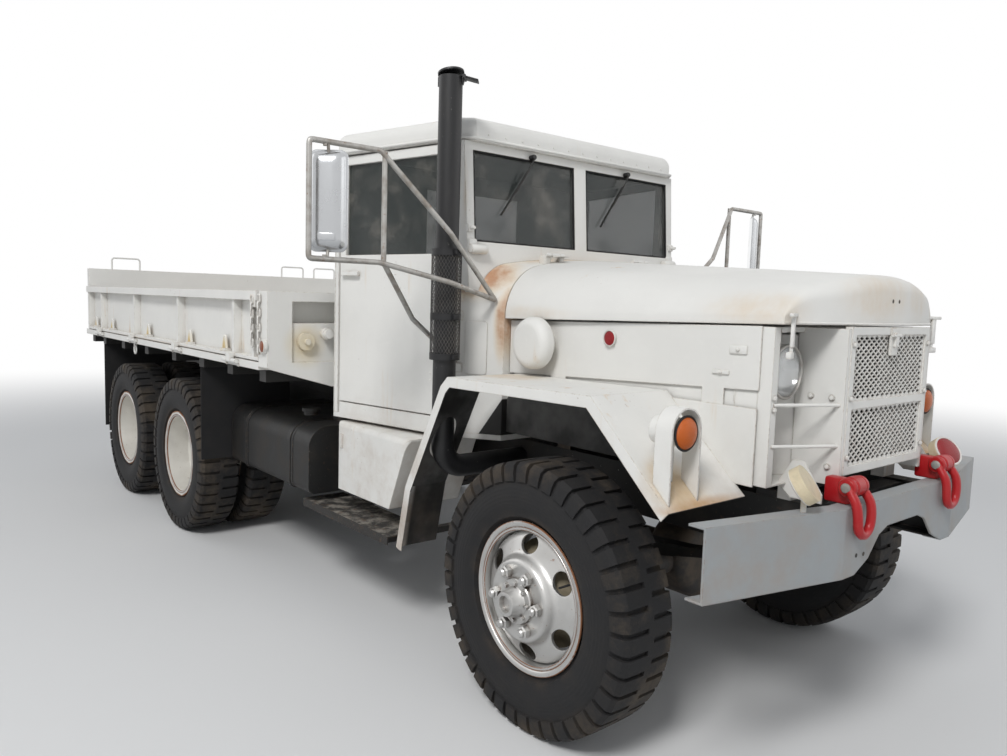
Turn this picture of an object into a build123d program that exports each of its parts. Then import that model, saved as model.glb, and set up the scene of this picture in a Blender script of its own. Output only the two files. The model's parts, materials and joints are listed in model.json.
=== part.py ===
from build123d import *
from math import hypot, sqrt
import os

# A six-wheel-drive military cargo truck with a hard cab and a drop-side cargo bed.
# Millimetres. +X is forward, +Y is the truck's left, +Z is up, and z = 0 is the ground.
# Everything is laid out from the front axle (x = 0) and moved to the middle of the length when written.

os.makedirs("parts", exist_ok=True)

# Axles, tyres and wheels
WHEELBASE = 3912.0
BOGIE_SPREAD = 1219.0
TYRE_RADIUS = 505.0
TYRE_WIDTH = 255.0
LUGS = 28
LUG_HEIGHT = 14.0
LUG_LENGTH = 72.0
LUG_IN = 46.0
TREAD_RIB_HALF = 34.0
RIM_SEAT_RADIUS = 258.0
RIM_FLANGE_RADIUS = 284.0
RIM_WIDTH = 210.0
RIM_WALL = 10.0
DISC_WALL = 12.0
FRONT_TYRE_Y = 862.0
DUAL_Y = 894.0
DUAL_SPACING = 317.0
FRONT_DISC_Y = 985.0
STUD_CIRCLE_RADIUS = 111.0
HUB_HOLE_RADIUS = 82.0
HAND_HOLE_CIRCLE_RADIUS = 178.0
HAND_HOLE_LENGTH = 82.0
HAND_HOLE_WIDTH = 46.0
HAND_HOLES = 6
AXLE_Z = TYRE_RADIUS
MIDDLE_X = -(WHEELBASE - BOGIE_SPREAD / 2)
REAR_X = -(WHEELBASE + BOGIE_SPREAD / 2)

# Running fits and gaps
SHAFT_FIT = 0.1
PANEL_GAP = 6.0
HINGE_GAP = 2.0

# Ladder frame
RAIL_Y = 390.0
RAIL_FLANGE = 76.0
RAIL_HEIGHT = 200.0
RAIL_WALL = 8.0
RAIL_TOP = 940.0
RAIL_BOTTOM = RAIL_TOP - RAIL_HEIGHT
RAIL_REAR = REAR_X - 958.5
CROSSMEMBER_HEIGHT = 130.0
CROSSMEMBER_LENGTH = 80.0
CROSSMEMBER_X = (720.0, -900.0, -1980.0, -2900.0, -WHEELBASE, RAIL_REAR + 580, RAIL_REAR + 40)

# Front bumper and shackles
BUMPER_FRONT = 905.0
BUMPER_END_X = 776.0
BUMPER_HALF = 984.0
BUMPER_STRAIGHT_HALF = 420.0
BUMPER_TOP = 962.0
BUMPER_DEPTH = 232.0
BUMPER_MIDDLE_DEPTH = 100.0
BUMPER_WALL = 8.0
BUMPER_FLANGE = 62.0
SHACKLE_Y = 345.0
SHACKLE_HANGER = 46.0
SHACKLE_BAR = 13.0
SHACKLE_REACH = 28.0
SHACKLE_PIN_UP = 62.0
SHACKLE_HALF = 40.0
SHACKLE_DROP = 150.0

# Axles, springs and steering
AXLE_TUBE_RADIUS = 60.0
DIFF_RADIUS = 185.0
DIFF_HALF = 105.0
DIFF_NOSE_RADIUS = 60.0
DIFF_NOSE_END = 170.0
KINGPIN_Y = 690.0
BALL_RADIUS = 92.0
CUP_WALL = 22.0
SPINDLE_RADIUS = 40.0
FRONT_SPRING_HALF = 560.0
SPRING_WIDTH = 64.0
REAR_SPRING_Y = 465.0
REAR_SPRING_WIDTH = 90.0
TRUNNION_RADIUS = 55.0
TIE_ARM_X = -220.0
TIE_ROD_Z = 425.0
TIE_ROD_RADIUS = 18.0
TIE_PIN_RADIUS = 9.0
TIE_EYE_RADIUS = 28.0
TIE_EYE_HALF = 22.0

# Engine, shafts and radiator
ENGINE_X = (-500.0, 430.0)
ENGINE_HALF = 255.0
ENGINE_Z = (710.0, 1330.0)
GEARBOX_RADIUS = 138.0
GEARBOX_Z = 800.0
SHAFT_Z = 722.0
SHAFT_RADIUS = 35.0
TRANSFER_X = (-2010.0, -1750.0)

# Hood, nose and fenders
COWL_FRONT = -620.0
HOOD_REAR_HALF = 592.0
HOOD_FRONT_HALF = 552.0
HOOD_REAR_EDGE_Z = 1512.0
HOOD_FRONT_EDGE_Z = 1545.0
HOOD_REAR_TOP = 1795.0
HOOD_FRONT_TOP = 1722.0
HOOD_FRONT = 822.0
HOOD_CORNER_X = 722.0
HOOD_WALL = 5.0
HOOD_SHOULDER = 62.0
HOOD_SHOULDER_FLAT = 190.0
HOOD_SHOULDER_BOW = 0.74
SIDE_PANEL_FRONT = 648.0
SIDE_PANEL_LOW = 1322.0
SIDE_PANEL_WALL = 5.0
INNER_FENDER_TOP = 1262.0
GRILLE_X = 822.0
GRILLE_HALF = 297.0
GRILLE_Z = (1040.0, 1540.0)
GRILLE_FRAME = 28.0
GRILLE_DEPTH = 26.0
GRILLE_BAR_Z = (1262.0, 1290.0)
MESH_PITCH = (36.0, 23.0)
MESH_BAR = 5.0
MESH_WALL = 4.0
MESH_EDGE = 12.0
POST_X = (641.0, 692.0)
POST_FACE = 34.0
POST_WALL = 6.0
POST_LOW = 1004.0
STAY_WIDTH = 18.0
GUARD_BAR_Z = (1278.0, 1140.0)
BAY_WALL_X = 550.0
GUSSET_Y = 425.0
HOLD_DOWN_Y = 486.0
HEADLIGHT_Y = 448.0
HEADLIGHT_PLACE = (680.0, 1384.0)
SIGNAL_PLACE = (600.0, -868.0, 1200.0)
MARKER_Z = 1048.0
REFLECTOR_PLACE = (-10.0, 1458.0)
REFLECTOR_RADIUS = 30.0
FENDER_OUT = 960.0
FENDER_REAR_IN = 742.0
FENDER_WALL = 5.0
FENDER_LIP = 42.0
# columns: x and z along the fender's outer face, from its foot at the cab to its foot at the bumper
FENDER_LINE = ((-900, 460), (-834, 752), (-580, 1230), (-535, 1272), (275, 1285), (622, 964))

# Cab
CAB_FLOOR_Z = 960.0
CAB_FLOOR_WALL = 25.0
SILL_HEIGHT = 80.0
CAB_REAR = -1640.0
DASH_Z = (1560.0, 1700.0)
HOOD_HINGE = (-617.0, 1806.0)
HOOD_HINGE_Y = 300.0
DOOR_HINGE_OUT = 9.0
DOOR_HINGE_Z = (1240.0, 1560.0)
COLUMN_RADIUS = 24.0
CAB_WALL = 8.0
WINDSHIELD_BASE_X = -745.0
WINDSHIELD_BASE_Z = 1805.0
WINDSHIELD_RAKE = 36.0
WINDSHIELD_HEIGHT = 483.0
WINDSHIELD_HALF = 708.0
WINDSHIELD_WALL = 30.0
PANE_OUT = 672.0
PANE_IN = 41.0
PANE_LOW = 46.0
PANE_HIGH = 450.0
GLASS_WALL = 6.0
REAR_WINDOW_HALF = 330.0
REAR_WINDOW_Z = (1830.0, 2190.0)
PILLAR_X = -760.0
PILLAR_HALF = 716.0
CAB_REAR_HALF = 890.0
ROOF_LOW = 2292.0
ROOF_HIGH = 2402.0
ROOF_ROUND = 62.0
ROOF_CORNER = 60.0
VISOR = 22.0
DOOR_FRONT = -822.0
DOOR_REAR = -1596.0
DOOR_LOW = 1048.0
DOOR_HIGH = 2284.0
BELT_Z = 1765.0
DOOR_WALL = 38.0
DOOR_FRAME = 42.0

# Seats
SEAT_Y = (-400.0, 400.0)
SEAT_HALF = 230.0
SEAT_Z = 1240.0
SEAT_BOX_X = (-1540.0, -1080.0)
SEAT_BACK_X = (-1590.0, -1502.0)
SEAT_BACK_TOP = 1800.0
SEAT_TUBE = 13.0
SEAT_ROUND = 25.0

# Side equipment
FLAP_WALL = 6.0
FLAP_GAP = (15.5, 53.5)
FLAP_X = (MIDDLE_X + TYRE_RADIUS + FLAP_GAP[0], REAR_X - TYRE_RADIUS - FLAP_GAP[1])
FLAP_LOW = (AXLE_Z + 51, AXLE_Z - 55)
TANK_X = (FLAP_X[0] + 22, -1700.0)
TANK_OUT = 1000.0
TANK_Z = (538.0, 898.0)
TANK_TOP_ROUND = 110.0
TANK_LOW_ROUND = 40.0
STRAP_WALL = 3.0
STRAP_WIDTH = 45.0
AIR_TANK_Y = RAIL_Y + 130
AIR_TANK_Z = 720.0
AIR_TANK_RADIUS = 105.0
BATTERY_X = (-1571.0, -1000.0)
BATTERY_OUT = 905.0
BATTERY_Z = (592.0, 944.0)
BATTERY_ROUND = 28.0
STEP_X = (-1820.0, -960.0)
STEP_OUT = 970.0
STEP_TOP = 493.0
STEP_WIDTH = 240.0
STEP_WALL = 42.0
STEP_STRAP_X = (-1010.0, -1640.0)
STEP_STRAP_WALL = 24.0
STACK_X = -710.0
STACK_Y = -850.0
STACK_RADIUS = 50.0
STACK_TOP = 2520.0
STACK_LOW = 850.0
SHIELD_RADIUS = 66.0
SHIELD_Z = (1330.0, 1800.0)
MIRROR_POST_X = -700.0
MIRROR_POST_Y = 1170.0
MIRROR_HEAD_Y = 1432.0
MIRROR_Z = (1728.0, 2168.0)
MIRROR_TUBE = 11.0
MIRROR_CASE = (178.0, 406.0)

# Cargo bed
BED_FRONT = -1720.0
BED_REAR = RAIL_REAR - 40
BED_HALF = 1219.0
BED_FLOOR_TOP = 1236.0
BED_SILL_LOW = 1195.0
BED_RAIL_LOW = 1552.0
BED_RAIL_TOP = 1602.0
BED_BEARER_LOW = 1130.0
BED_BEARER_X = (
    BED_FRONT - 150, BED_FRONT - 600, FLAP_X[0], MIDDLE_X, -WHEELBASE, REAR_X, FLAP_X[1], BED_REAR + 80,
)
BEARER_LENGTH = 80.0
HEADBOARD_DEPTH = 110.0
HEADBOARD_POST = 134.0
BOX_TOP = 1440.0
CAP_PLACE = (-1010.0, 1346.0)
PIPE_PLACE = (-900.0, 1388.0)
SIDE_WALL = 10.0
SIDE_DEPTH = 54.0
SIDE_RIB_X = tuple(BED_FRONT + share * (BED_REAR - BED_FRONT) for share in (0.12, 0.3645, 0.621, 0.867))
HOOK_X = tuple(BED_FRONT + share * (BED_REAR - BED_FRONT) for share in (0.165, 0.318, 0.545, 0.797, 0.93))
HOOK_SPREAD = 28.0
HOOK_HEIGHT = 112.0
HOOK_RADIUS = 8.0
LINK_LENGTH = 52.0
LINK_WIDTH = 34.0
LINK_WALL = 8.0
LINK_STAND = 9.0
SIDE_LINKS = 7
POST_LINKS = 8
RIB_LENGTH = 34.0
TAILGATE_TOP = 1755.0
TAILGATE_DEPTH = 54.0
TAILGATE_HINGE_Y = (319 - BED_HALF, -300.0, 300.0, BED_HALF - 319)
HOOP_Y = (319 - BED_HALF, BED_HALF - 549, BED_HALF - 199)
HOOP_HALF = 115.0
HOOP_HEIGHT = 100.0
SIDE_LAMP_Z = 1322.0
HINGE_AXIS_OUT = 18.0
HINGE_AXIS_Z = 1222.0
BARREL_RADIUS = 12.0
BARREL_LENGTH = 60.0
PINTLE_REAR = RAIL_REAR - 270
PINTLE_Z = 860.0
PINTLE_RADIUS = 65.0
PINTLE_HOLE_RADIUS = 27.0

FRONT_END = BUMPER_FRONT + SHACKLE_REACH + SHACKLE_BAR
MIDDLE = (FRONT_END + PINTLE_REAR) / 2
RAIL_FRONT = BUMPER_FRONT - BUMPER_WALL
FENDER_IN = HOOD_FRONT_HALF + SIDE_PANEL_WALL
COWL_REAR = DOOR_FRONT + PANEL_GAP
DOOR_HINGE_X = (DOOR_FRONT + COWL_REAR) / 2
WHEEL_CENTRE = (-1010.0, 400.0, 1640.0)
COLUMN_FALL = 350 / 310
COLUMN_REACH = COWL_FRONT - CAB_WALL / 2 - WHEEL_CENTRE[0]
COLUMN_FOOT = (WHEEL_CENTRE[0] + COLUMN_REACH, WHEEL_CENTRE[1], WHEEL_CENTRE[2] - COLUMN_REACH * COLUMN_FALL)
CAB_TAPER = (CAB_REAR_HALF - PILLAR_HALF) / (PILLAR_X - CAB_REAR)


def block(x, y, z):
    """A box between the pairs of values x, y and z."""
    size = [abs(pair[1] - pair[0]) for pair in (x, y, z)]
    centre = [(pair[0] + pair[1]) / 2 for pair in (x, y, z)]
    return Pos(*centre) * Box(*size)


def rod(start, end, radius):
    """A round bar from one point to another."""
    start, end = Vector(*start), Vector(*end)
    return Solid.make_cylinder(radius, (end - start).length, Plane(origin=start, z_dir=end - start))


def bent_rod(points, radius, bend):
    """A round bar bent through a few points."""
    path = FilletPolyline(*points, radius=bend)
    return sweep(Plane(origin=path @ 0, z_dir=path % 0) * Circle(radius), path=path)


def side_profile(points, y):
    """A closed outline of x and z points, drawn out between two y values."""
    face = make_face(Polyline(*[(px, y[0], pz) for px, pz in points], close=True))
    return extrude(face, amount=y[1] - y[0], dir=(0, 1, 0))


def front_profile(points, x):
    """A closed outline of y and z points, drawn out between two x values."""
    face = make_face(Polyline(*[(x[0], py, pz) for py, pz in points], close=True))
    return extrude(face, amount=x[1] - x[0], dir=(1, 0, 0))


def plan_profile(points, z):
    """A closed outline of x and y points, drawn out between two z values."""
    face = make_face(Polyline(*[(px, py, z[0]) for px, py in points], close=True))
    return extrude(face, amount=z[1] - z[0], dir=(0, 0, 1))


def turned(points, x, y, z):
    """A closed outline of y offsets and radii, turned about the line along Y through x and z."""
    face = make_face(Polyline(*[(r, offset) for offset, r in points], close=True))
    solid = revolve(face, axis=Axis.Y)
    return Pos(x, y, z) * solid


def mirrored(shape):
    """The same piece on the other side of the truck."""
    return mirror(shape, about=Plane.XZ)


def write(name, *shapes):
    """Writes one sub-part, moved from the front axle to the middle of the truck's length."""
    solids = [Pos(-MIDDLE, 0, 0) * solid for shape in shapes for solid in shape.solids()]
    export_step(solids[0] if len(solids) == 1 else Compound(children=solids), f"parts/{name}.step")


def write_pair(name, right):
    """Writes a right-hand sub-part and its mirror image on the left."""
    write(f"{name}_right", right)
    write(f"{name}_left", mirrored(right))


def cab_half(x):
    """Half the cab's width, which grows from the windshield to the back."""
    return PILLAR_HALF + (PILLAR_X - x) * CAB_TAPER


def tyre():
    """A military tyre: bead, bulging sidewalls, a centre rib and staggered lugs over both shoulders."""
    half = TYRE_WIDTH / 2
    tread = TYRE_RADIUS - LUG_HEIGHT
    # columns: share of the half width, share of the way from rim seat to tread
    section = ((0.69, 0.0), (0.7, 0.125), (0.96, 0.24), (1.0, 0.5), (0.94, 0.86), (0.8, 1.0))
    height = tread - RIM_SEAT_RADIUS
    side = [(half * a, RIM_SEAT_RADIUS + height * b) for a, b in section]
    side += [(TREAD_RIB_HALF, tread), (TREAD_RIB_HALF, TYRE_RADIUS)]
    body = turned(side + [(-a, r) for a, r in reversed(side)], 0, 0, 0)
    tip = sqrt(TYRE_RADIUS**2 - (LUG_LENGTH / 2) ** 2)
    # columns: distance from the tyre's middle plane, radius
    foot = tread - 30
    outline = ((LUG_IN, tread - 6), (LUG_IN, tip), (half * 0.85, tip), (half * 0.955, foot), (half / 2, foot))
    lugs = []
    for way, start in ((1, 0.0), (-1, 0.5)):
        lug = front_profile([(way * y, z) for y, z in outline], (-LUG_LENGTH / 2, LUG_LENGTH / 2))
        lugs += [Rot(0, 360 / LUGS * (index + start), 0) * lug for index in range(LUGS)]
    return body + lugs


def tyre_at(pattern, x, y):
    """One tyre on its axle."""
    return Pos(x, y, AXLE_Z) * pattern


def wheel(x, y, disc_y):
    """A steel rim and its dished disc, with hand holes round the bolting face."""
    half = RIM_WIDTH / 2
    seat_half = TYRE_WIDTH / 2 * 0.69 + RIM_WALL / 2
    out = 1 if disc_y > y else -1
    rim = turned(
        [
            (-half, RIM_FLANGE_RADIUS),
            (-half + RIM_WALL, RIM_FLANGE_RADIUS),
            (-seat_half, RIM_SEAT_RADIUS),
            (seat_half, RIM_SEAT_RADIUS),
            (half - RIM_WALL, RIM_FLANGE_RADIUS),
            (half, RIM_FLANGE_RADIUS),
            (half, RIM_FLANGE_RADIUS - RIM_WALL),
            (seat_half, RIM_SEAT_RADIUS - RIM_WALL),
            (-seat_half, RIM_SEAT_RADIUS - RIM_WALL),
            (-half, RIM_FLANGE_RADIUS - RIM_WALL),
        ],
        x, y, AXLE_Z,
    )
    face_radius = STUD_CIRCLE_RADIUS + 34
    edge_radius = RIM_SEAT_RADIUS - RIM_WALL
    face = disc_y - y
    edge = out * (seat_half - 22)
    # columns: offset from the rim's middle, radius
    dish = turned(
        [
            (face, HUB_HOLE_RADIUS),
            (face, face_radius),
            (face + (edge - face) * 0.55, face_radius + 34),
            (edge, edge_radius - 24),
            (edge, edge_radius),
            (edge - out * 30, edge_radius),
            (edge - out * DISC_WALL, edge_radius - 30),
            (face + (edge - face) * 0.55 - out * DISC_WALL, face_radius + 26),
            (face - out * DISC_WALL, face_radius - 6),
            (face - out * DISC_WALL, HUB_HOLE_RADIUS),
        ],
        x, y, AXLE_Z,
    )
    hole_end = face + out * 60
    hole = extrude(SlotOverall(HAND_HOLE_LENGTH, HAND_HOLE_WIDTH), amount=DUAL_SPACING, both=True)
    for index in range(HAND_HOLES):
        angle = 360 / HAND_HOLES * (index + 0.5)
        place = Pos(x, y + hole_end, AXLE_Z) * Rot(0, angle, 0) * Pos(0, 0, HAND_HOLE_CIRCLE_RADIUS)
        dish -= place * Rot(90, 0, 0) * hole
    return rim + dish


def front_hub(y_sign):
    """The brake drum, hub and drive flange that a front wheel is bolted to."""
    bore = SPINDLE_RADIUS + SHAFT_FIT
    inner = KINGPIN_Y + BALL_RADIUS + CUP_WALL + PANEL_GAP
    # columns: y, radius
    outline = [
        (inner, bore),
        (inner, 205.0),
        (inner + 90, 205.0),
        (FRONT_DISC_Y - DISC_WALL, STUD_CIRCLE_RADIUS + 24),
        (FRONT_DISC_Y - DISC_WALL, HUB_HOLE_RADIUS),
        (FRONT_DISC_Y + 34, HUB_HOLE_RADIUS),
        (FRONT_DISC_Y + 34, 56.0),
        (FRONT_DISC_Y + 74, 50.0),
        (FRONT_DISC_Y + 74, 0.0),
        (FRONT_DISC_Y + 8, 0.0),
        (FRONT_DISC_Y + 8, bore),
    ]
    hub = turned(outline, 0, 0, AXLE_Z)
    return hub if y_sign > 0 else mirrored(hub)


def dual_hub(x):
    """The drum and hub between a pair of twin wheels on the left."""
    inner = 600.0
    outline = [
        (inner, 70.0),
        (inner, 205.0),
        (inner + 120, 205.0),
        (DUAL_Y - DISC_WALL, STUD_CIRCLE_RADIUS + 24),
        (DUAL_Y - DISC_WALL, HUB_HOLE_RADIUS),
        (DUAL_Y + 90, HUB_HOLE_RADIUS),
        (DUAL_Y + 90, 0.0),
        (DUAL_Y - 100, 0.0),
        (DUAL_Y - 100, 70.0),
    ]
    return turned(outline, x, 0, AXLE_Z)


def frame_rail():
    """One channel-section rail of the ladder frame, open to the middle."""
    inner = RAIL_Y - RAIL_FLANGE
    web = RAIL_Y - RAIL_WALL
    low, high = RAIL_BOTTOM + RAIL_WALL, RAIL_TOP - RAIL_WALL
    outline = [
        (-RAIL_Y, RAIL_BOTTOM), (-inner, RAIL_BOTTOM), (-inner, low), (-web, low),
        (-web, high), (-inner, high), (-inner, RAIL_TOP), (-RAIL_Y, RAIL_TOP),
    ]
    return front_profile(outline, (RAIL_REAR, RAIL_FRONT))


def crossmembers():
    """Channel crossmembers that fit inside the rails."""
    half = RAIL_Y - RAIL_WALL
    top = RAIL_TOP - RAIL_WALL
    pieces = []
    for x in CROSSMEMBER_X:
        reach = CROSSMEMBER_LENGTH / 2
        low = top - CROSSMEMBER_HEIGHT
        solid = block((x - reach, x + reach), (-half, half), (low, top))
        inside = (low + RAIL_WALL, top - RAIL_WALL)
        pieces.append(solid - block((x - reach - 10, x + reach - RAIL_WALL), (-half, half), inside))
    return pieces


def bumper_plan(back, reach):
    """The bumper's swept plan, set back from its front face and reaching past its ends."""
    sweep_back = (BUMPER_FRONT - BUMPER_END_X) / (BUMPER_HALF - BUMPER_STRAIGHT_HALF)
    end = (BUMPER_END_X - back - reach * sweep_back, BUMPER_HALF + reach)
    corner = (BUMPER_FRONT - back, BUMPER_STRAIGHT_HALF)
    return [(end[0], -end[1]), (corner[0], -corner[1]), corner, end]


def bumper():
    """A deep channel with swept-back ends whose lower edge rises in the middle."""
    low = BUMPER_TOP - BUMPER_DEPTH
    outline = bumper_plan(0, 0) + list(reversed(bumper_plan(BUMPER_FLANGE, 0)))
    hollow = bumper_plan(BUMPER_WALL, 40) + list(reversed(bumper_plan(BUMPER_FLANGE * 2, 40)))
    body = plan_profile(outline, (low, BUMPER_TOP))
    body -= plan_profile(hollow, (low + BUMPER_WALL, BUMPER_TOP - BUMPER_WALL))
    middle_low = BUMPER_TOP - BUMPER_MIDDLE_DEPTH
    # columns: y, z of the raised lower edge
    rise = [(340, low), (250, low + 40), (180, middle_low - 22), (120, middle_low)]
    cut = rise + [(-y, z) for y, z in reversed(rise)] + [(-340, low - 10), (340, low - 10)]
    return body - front_profile(cut, (BUMPER_END_X - 200, BUMPER_FRONT + 50))


def shackle(y):
    """A tow shackle: the hanger over the rail end, its pin and the hanging loop."""
    z_pin = BUMPER_TOP + SHACKLE_PIN_UP
    x_pin = BUMPER_FRONT - 20
    half_hanger = SHACKLE_HANGER / 2
    hanger = block((x_pin - 90, x_pin - 24), (y - half_hanger, y + half_hanger), (BUMPER_TOP, z_pin + 18))
    eye = rod((x_pin, y - 20, z_pin), (x_pin, y + 20, z_pin), 30)
    link = block((x_pin - 60, x_pin), (y - 20, y + 20), (z_pin - 20, z_pin + 20))
    pin = rod((x_pin, y - 48, z_pin), (x_pin, y + 48, z_pin), 16)
    loop_x = BUMPER_FRONT + SHACKLE_REACH
    # columns: x, side of the loop, drop below the pin
    corners = ((x_pin, -1, 0), (loop_x, -1, 45), (loop_x, -1, SHACKLE_DROP))
    side = [(x, y + way * SHACKLE_HALF, z_pin - drop) for x, way, drop in corners]
    loop = side + [(x, 2 * y - across, z) for x, across, z in reversed(side)]
    return hanger + eye + link + pin + bent_rod(loop, SHACKLE_BAR, 30)


def front_spring():
    """A leaf pack under the right rail, with its eyes and hangers."""
    y = (-RAIL_Y + 6, -RAIL_Y + 6 + SPRING_WIDTH)
    top = AXLE_Z + AXLE_TUBE_RADIUS + 20
    half = FRONT_SPRING_HALF
    outline = [(-half, 690), (-150, top + 14), (-60, top), (60, top), (150, top + 14), (half, 690),
               (half, 706), (260, top + 78), (70, top + 64), (-70, top + 64), (-260, top + 78), (-half, 706)]
    pack = side_profile(outline, y)
    for end in (-half, half):
        pack += rod((end, y[0], 698), (end, y[1], 698), 28)
        pack += block((end - 30, end + 30), y, (712, RAIL_BOTTOM))
    return pack


def axle(x, nose_sign, half):
    """A drive axle: the tube, the round differential housing and its input nose."""
    tube = rod((x, -half, AXLE_Z), (x, half, AXLE_Z), AXLE_TUBE_RADIUS)
    housing = rod((x - DIFF_HALF, 0, AXLE_Z), (x + DIFF_HALF, 0, AXLE_Z), DIFF_RADIUS)
    housing = fillet(housing.edges().filter_by(GeomType.CIRCLE), 55)
    nose = rod((x, 0, AXLE_Z + 15), (x + nose_sign * DIFF_NOSE_END, 0, AXLE_Z + 15), DIFF_NOSE_RADIUS)
    return tube + housing + nose


def front_axle():
    """The steered drive axle with a ball at each end and a pad under each spring."""
    body = axle(0, -1, KINGPIN_Y - 40)
    for side in (-1, 1):
        body += Pos(0, side * KINGPIN_Y, AXLE_Z) * Sphere(BALL_RADIUS)
        inner = side * (RAIL_Y - 6 - SPRING_WIDTH)
        outer = side * (RAIL_Y - 6)
        body += block((-75, 75), (inner, outer), (AXLE_Z, AXLE_Z + AXLE_TUBE_RADIUS + 20))
    return body


def knuckle(side):
    """The cup that turns on the axle's ball, with its spindle and steering arm."""
    centre = (0, KINGPIN_Y, AXLE_Z)
    cup = Pos(*centre) * Sphere(BALL_RADIUS + CUP_WALL)
    cup -= Pos(*centre) * Sphere(BALL_RADIUS + SHAFT_FIT * 3)
    cup -= block((-300, 300), (KINGPIN_Y - 300, KINGPIN_Y - 20), (AXLE_Z - 300, AXLE_Z + 300))
    spindle = rod((0, KINGPIN_Y + BALL_RADIUS + 8, AXLE_Z), (0, FRONT_DISC_Y, AXLE_Z), SPINDLE_RADIUS)
    plan = [(-40, KINGPIN_Y - 10), (-40, KINGPIN_Y + 40), (TIE_ARM_X - 20, KINGPIN_Y + 22),
            (TIE_ARM_X - 20, KINGPIN_Y - 22)]
    arm_low = TIE_ROD_Z + TIE_EYE_HALF + 4
    arm = plan_profile(plan, (arm_low, arm_low + 22))
    pin_low = TIE_ROD_Z - TIE_EYE_HALF - 4
    pin = rod((TIE_ARM_X, KINGPIN_Y, pin_low), (TIE_ARM_X, KINGPIN_Y, arm_low + 8), TIE_PIN_RADIUS)
    body = cup + spindle + (arm - Pos(*centre) * Sphere(BALL_RADIUS + CUP_WALL / 2)) + pin
    return body if side > 0 else mirrored(body)


def tie_rod():
    """The rod between the two steering arms, with an eye at each end."""
    body = rod((TIE_ARM_X, -KINGPIN_Y, TIE_ROD_Z), (TIE_ARM_X, KINGPIN_Y, TIE_ROD_Z), TIE_ROD_RADIUS)
    for y in (-KINGPIN_Y, KINGPIN_Y):
        for reach, radius in ((TIE_EYE_HALF, TIE_EYE_RADIUS), (60, TIE_PIN_RADIUS + SHAFT_FIT)):
            bar = rod((TIE_ARM_X, y, TIE_ROD_Z - reach), (TIE_ARM_X, y, TIE_ROD_Z + reach), radius)
            body = body + bar if radius == TIE_EYE_RADIUS else body - bar
    return body


def rear_springs():
    """The two inverted leaf packs of the bogie on their trunnions and brackets."""
    x = -WHEELBASE
    z = 600.0
    pieces = []
    half = BOGIE_SPREAD / 2
    low = AXLE_Z + AXLE_TUBE_RADIUS + 30
    for side in (-1, 1):
        body = rod((x, side * 300, z), (x, side * 540, z), TRUNNION_RADIUS)
        bracket_y = (side * (RAIL_Y - RAIL_FLANGE), side * RAIL_Y)
        body += block((x - 130, x + 130), bracket_y, (z - 70, RAIL_BOTTOM))
        y = rear_spring_span(side)
        # columns: share of the half length, height of the pack's lower and upper face
        crown = (0.18, z + 40, z + 140)
        pack = ((1.06, low, low + 26), (0.9, low, low + 40), (0.7, low + 12, low + 80), crown)
        lower = [(half * a, b) for a, b, c in pack]
        upper = [(half * a, c) for a, b, c in pack]
        outline = lower + [(-a, b) for a, b in reversed(lower)]
        outline += [(-a, c) for a, c in upper] + list(reversed(upper))
        pieces.append(body + side_profile([(x + a, b) for a, b in outline], y))
    return pieces


def rear_spring_span(side):
    """The lower and upper y of a rear leaf pack."""
    ends = (side * (REAR_SPRING_Y - REAR_SPRING_WIDTH / 2), side * (REAR_SPRING_Y + REAR_SPRING_WIDTH / 2))
    return (min(ends), max(ends))


def rear_axle(x):
    """A bogie axle with a pad under each end of the leaf packs."""
    body = axle(x, 1, 590)
    low = AXLE_Z + AXLE_TUBE_RADIUS + 30
    for side in (-1, 1):
        body += block((x - 40, x + 40), rear_spring_span(side), (AXLE_Z, low))
        body += rod((x, side * 590, AXLE_Z), (x, side * (DUAL_Y - 100 - PANEL_GAP), AXLE_Z), 70 - SHAFT_FIT)
    return body


def engine():
    """The engine as one block, on four feet over the rails."""
    body = block(ENGINE_X, (-ENGINE_HALF, ENGINE_HALF), ENGINE_Z)
    body = chamfer(body.edges().filter_by(Axis.X).group_by(Axis.Z)[-1], 90)
    for x in (-420.0, 340.0):
        body += block((x - 40, x + 40), (-RAIL_Y, RAIL_Y), (RAIL_TOP, RAIL_TOP + 24))
    return body


def driveline():
    """Gearbox, transfer case and the shafts to the three axles."""
    under = RAIL_TOP - RAIL_WALL - CROSSMEMBER_HEIGHT
    gearbox_end = CROSSMEMBER_X[1] + CROSSMEMBER_LENGTH / 2 + 10
    body = rod((ENGINE_X[0], 0, GEARBOX_Z), (gearbox_end, 0, GEARBOX_Z), GEARBOX_RADIUS)
    body += rod((gearbox_end + 10, 0, SHAFT_Z), (TRANSFER_X[1], 0, SHAFT_Z), SHAFT_RADIUS + 10)
    body += block(TRANSFER_X, (-190, 190), (under - 240, under))
    nose_z = AXLE_Z + 15
    pillow_x = MIDDLE_X - DIFF_HALF - 60
    pillow_z = AXLE_Z + DIFF_RADIUS + SHAFT_RADIUS + 10
    # columns: start x, start z, end x, end z
    runs = (
        (TRANSFER_X[1] - 40, 610, -DIFF_NOSE_END - 80, nose_z),
        (TRANSFER_X[0] + 40, 610, MIDDLE_X + DIFF_NOSE_END + 80, nose_z),
        (TRANSFER_X[0] + 40, SHAFT_Z, pillow_x, pillow_z),
        (pillow_x, pillow_z, REAR_X + DIFF_NOSE_END + 80, nose_z),
    )
    for x0, z0, x1, z1 in runs:
        body += rod((x0, 0, z0), (x1, 0, z1), SHAFT_RADIUS)
    for x, sign in ((0, -1), (MIDDLE_X, 1), (REAR_X, 1)):
        end = x + sign * DIFF_NOSE_END
        body += rod((end, 0, nose_z), (end + sign * 90, 0, nose_z), SHAFT_RADIUS + 10)
    return body


def radiator():
    """The radiator core and its tanks, standing on the front crossmember's rails."""
    body = block((560, 640), (-285, 285), (RAIL_TOP + 24, 1500))
    return body + block((560, 640), (-RAIL_Y, RAIL_Y), (RAIL_TOP, RAIL_TOP + 24))


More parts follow.
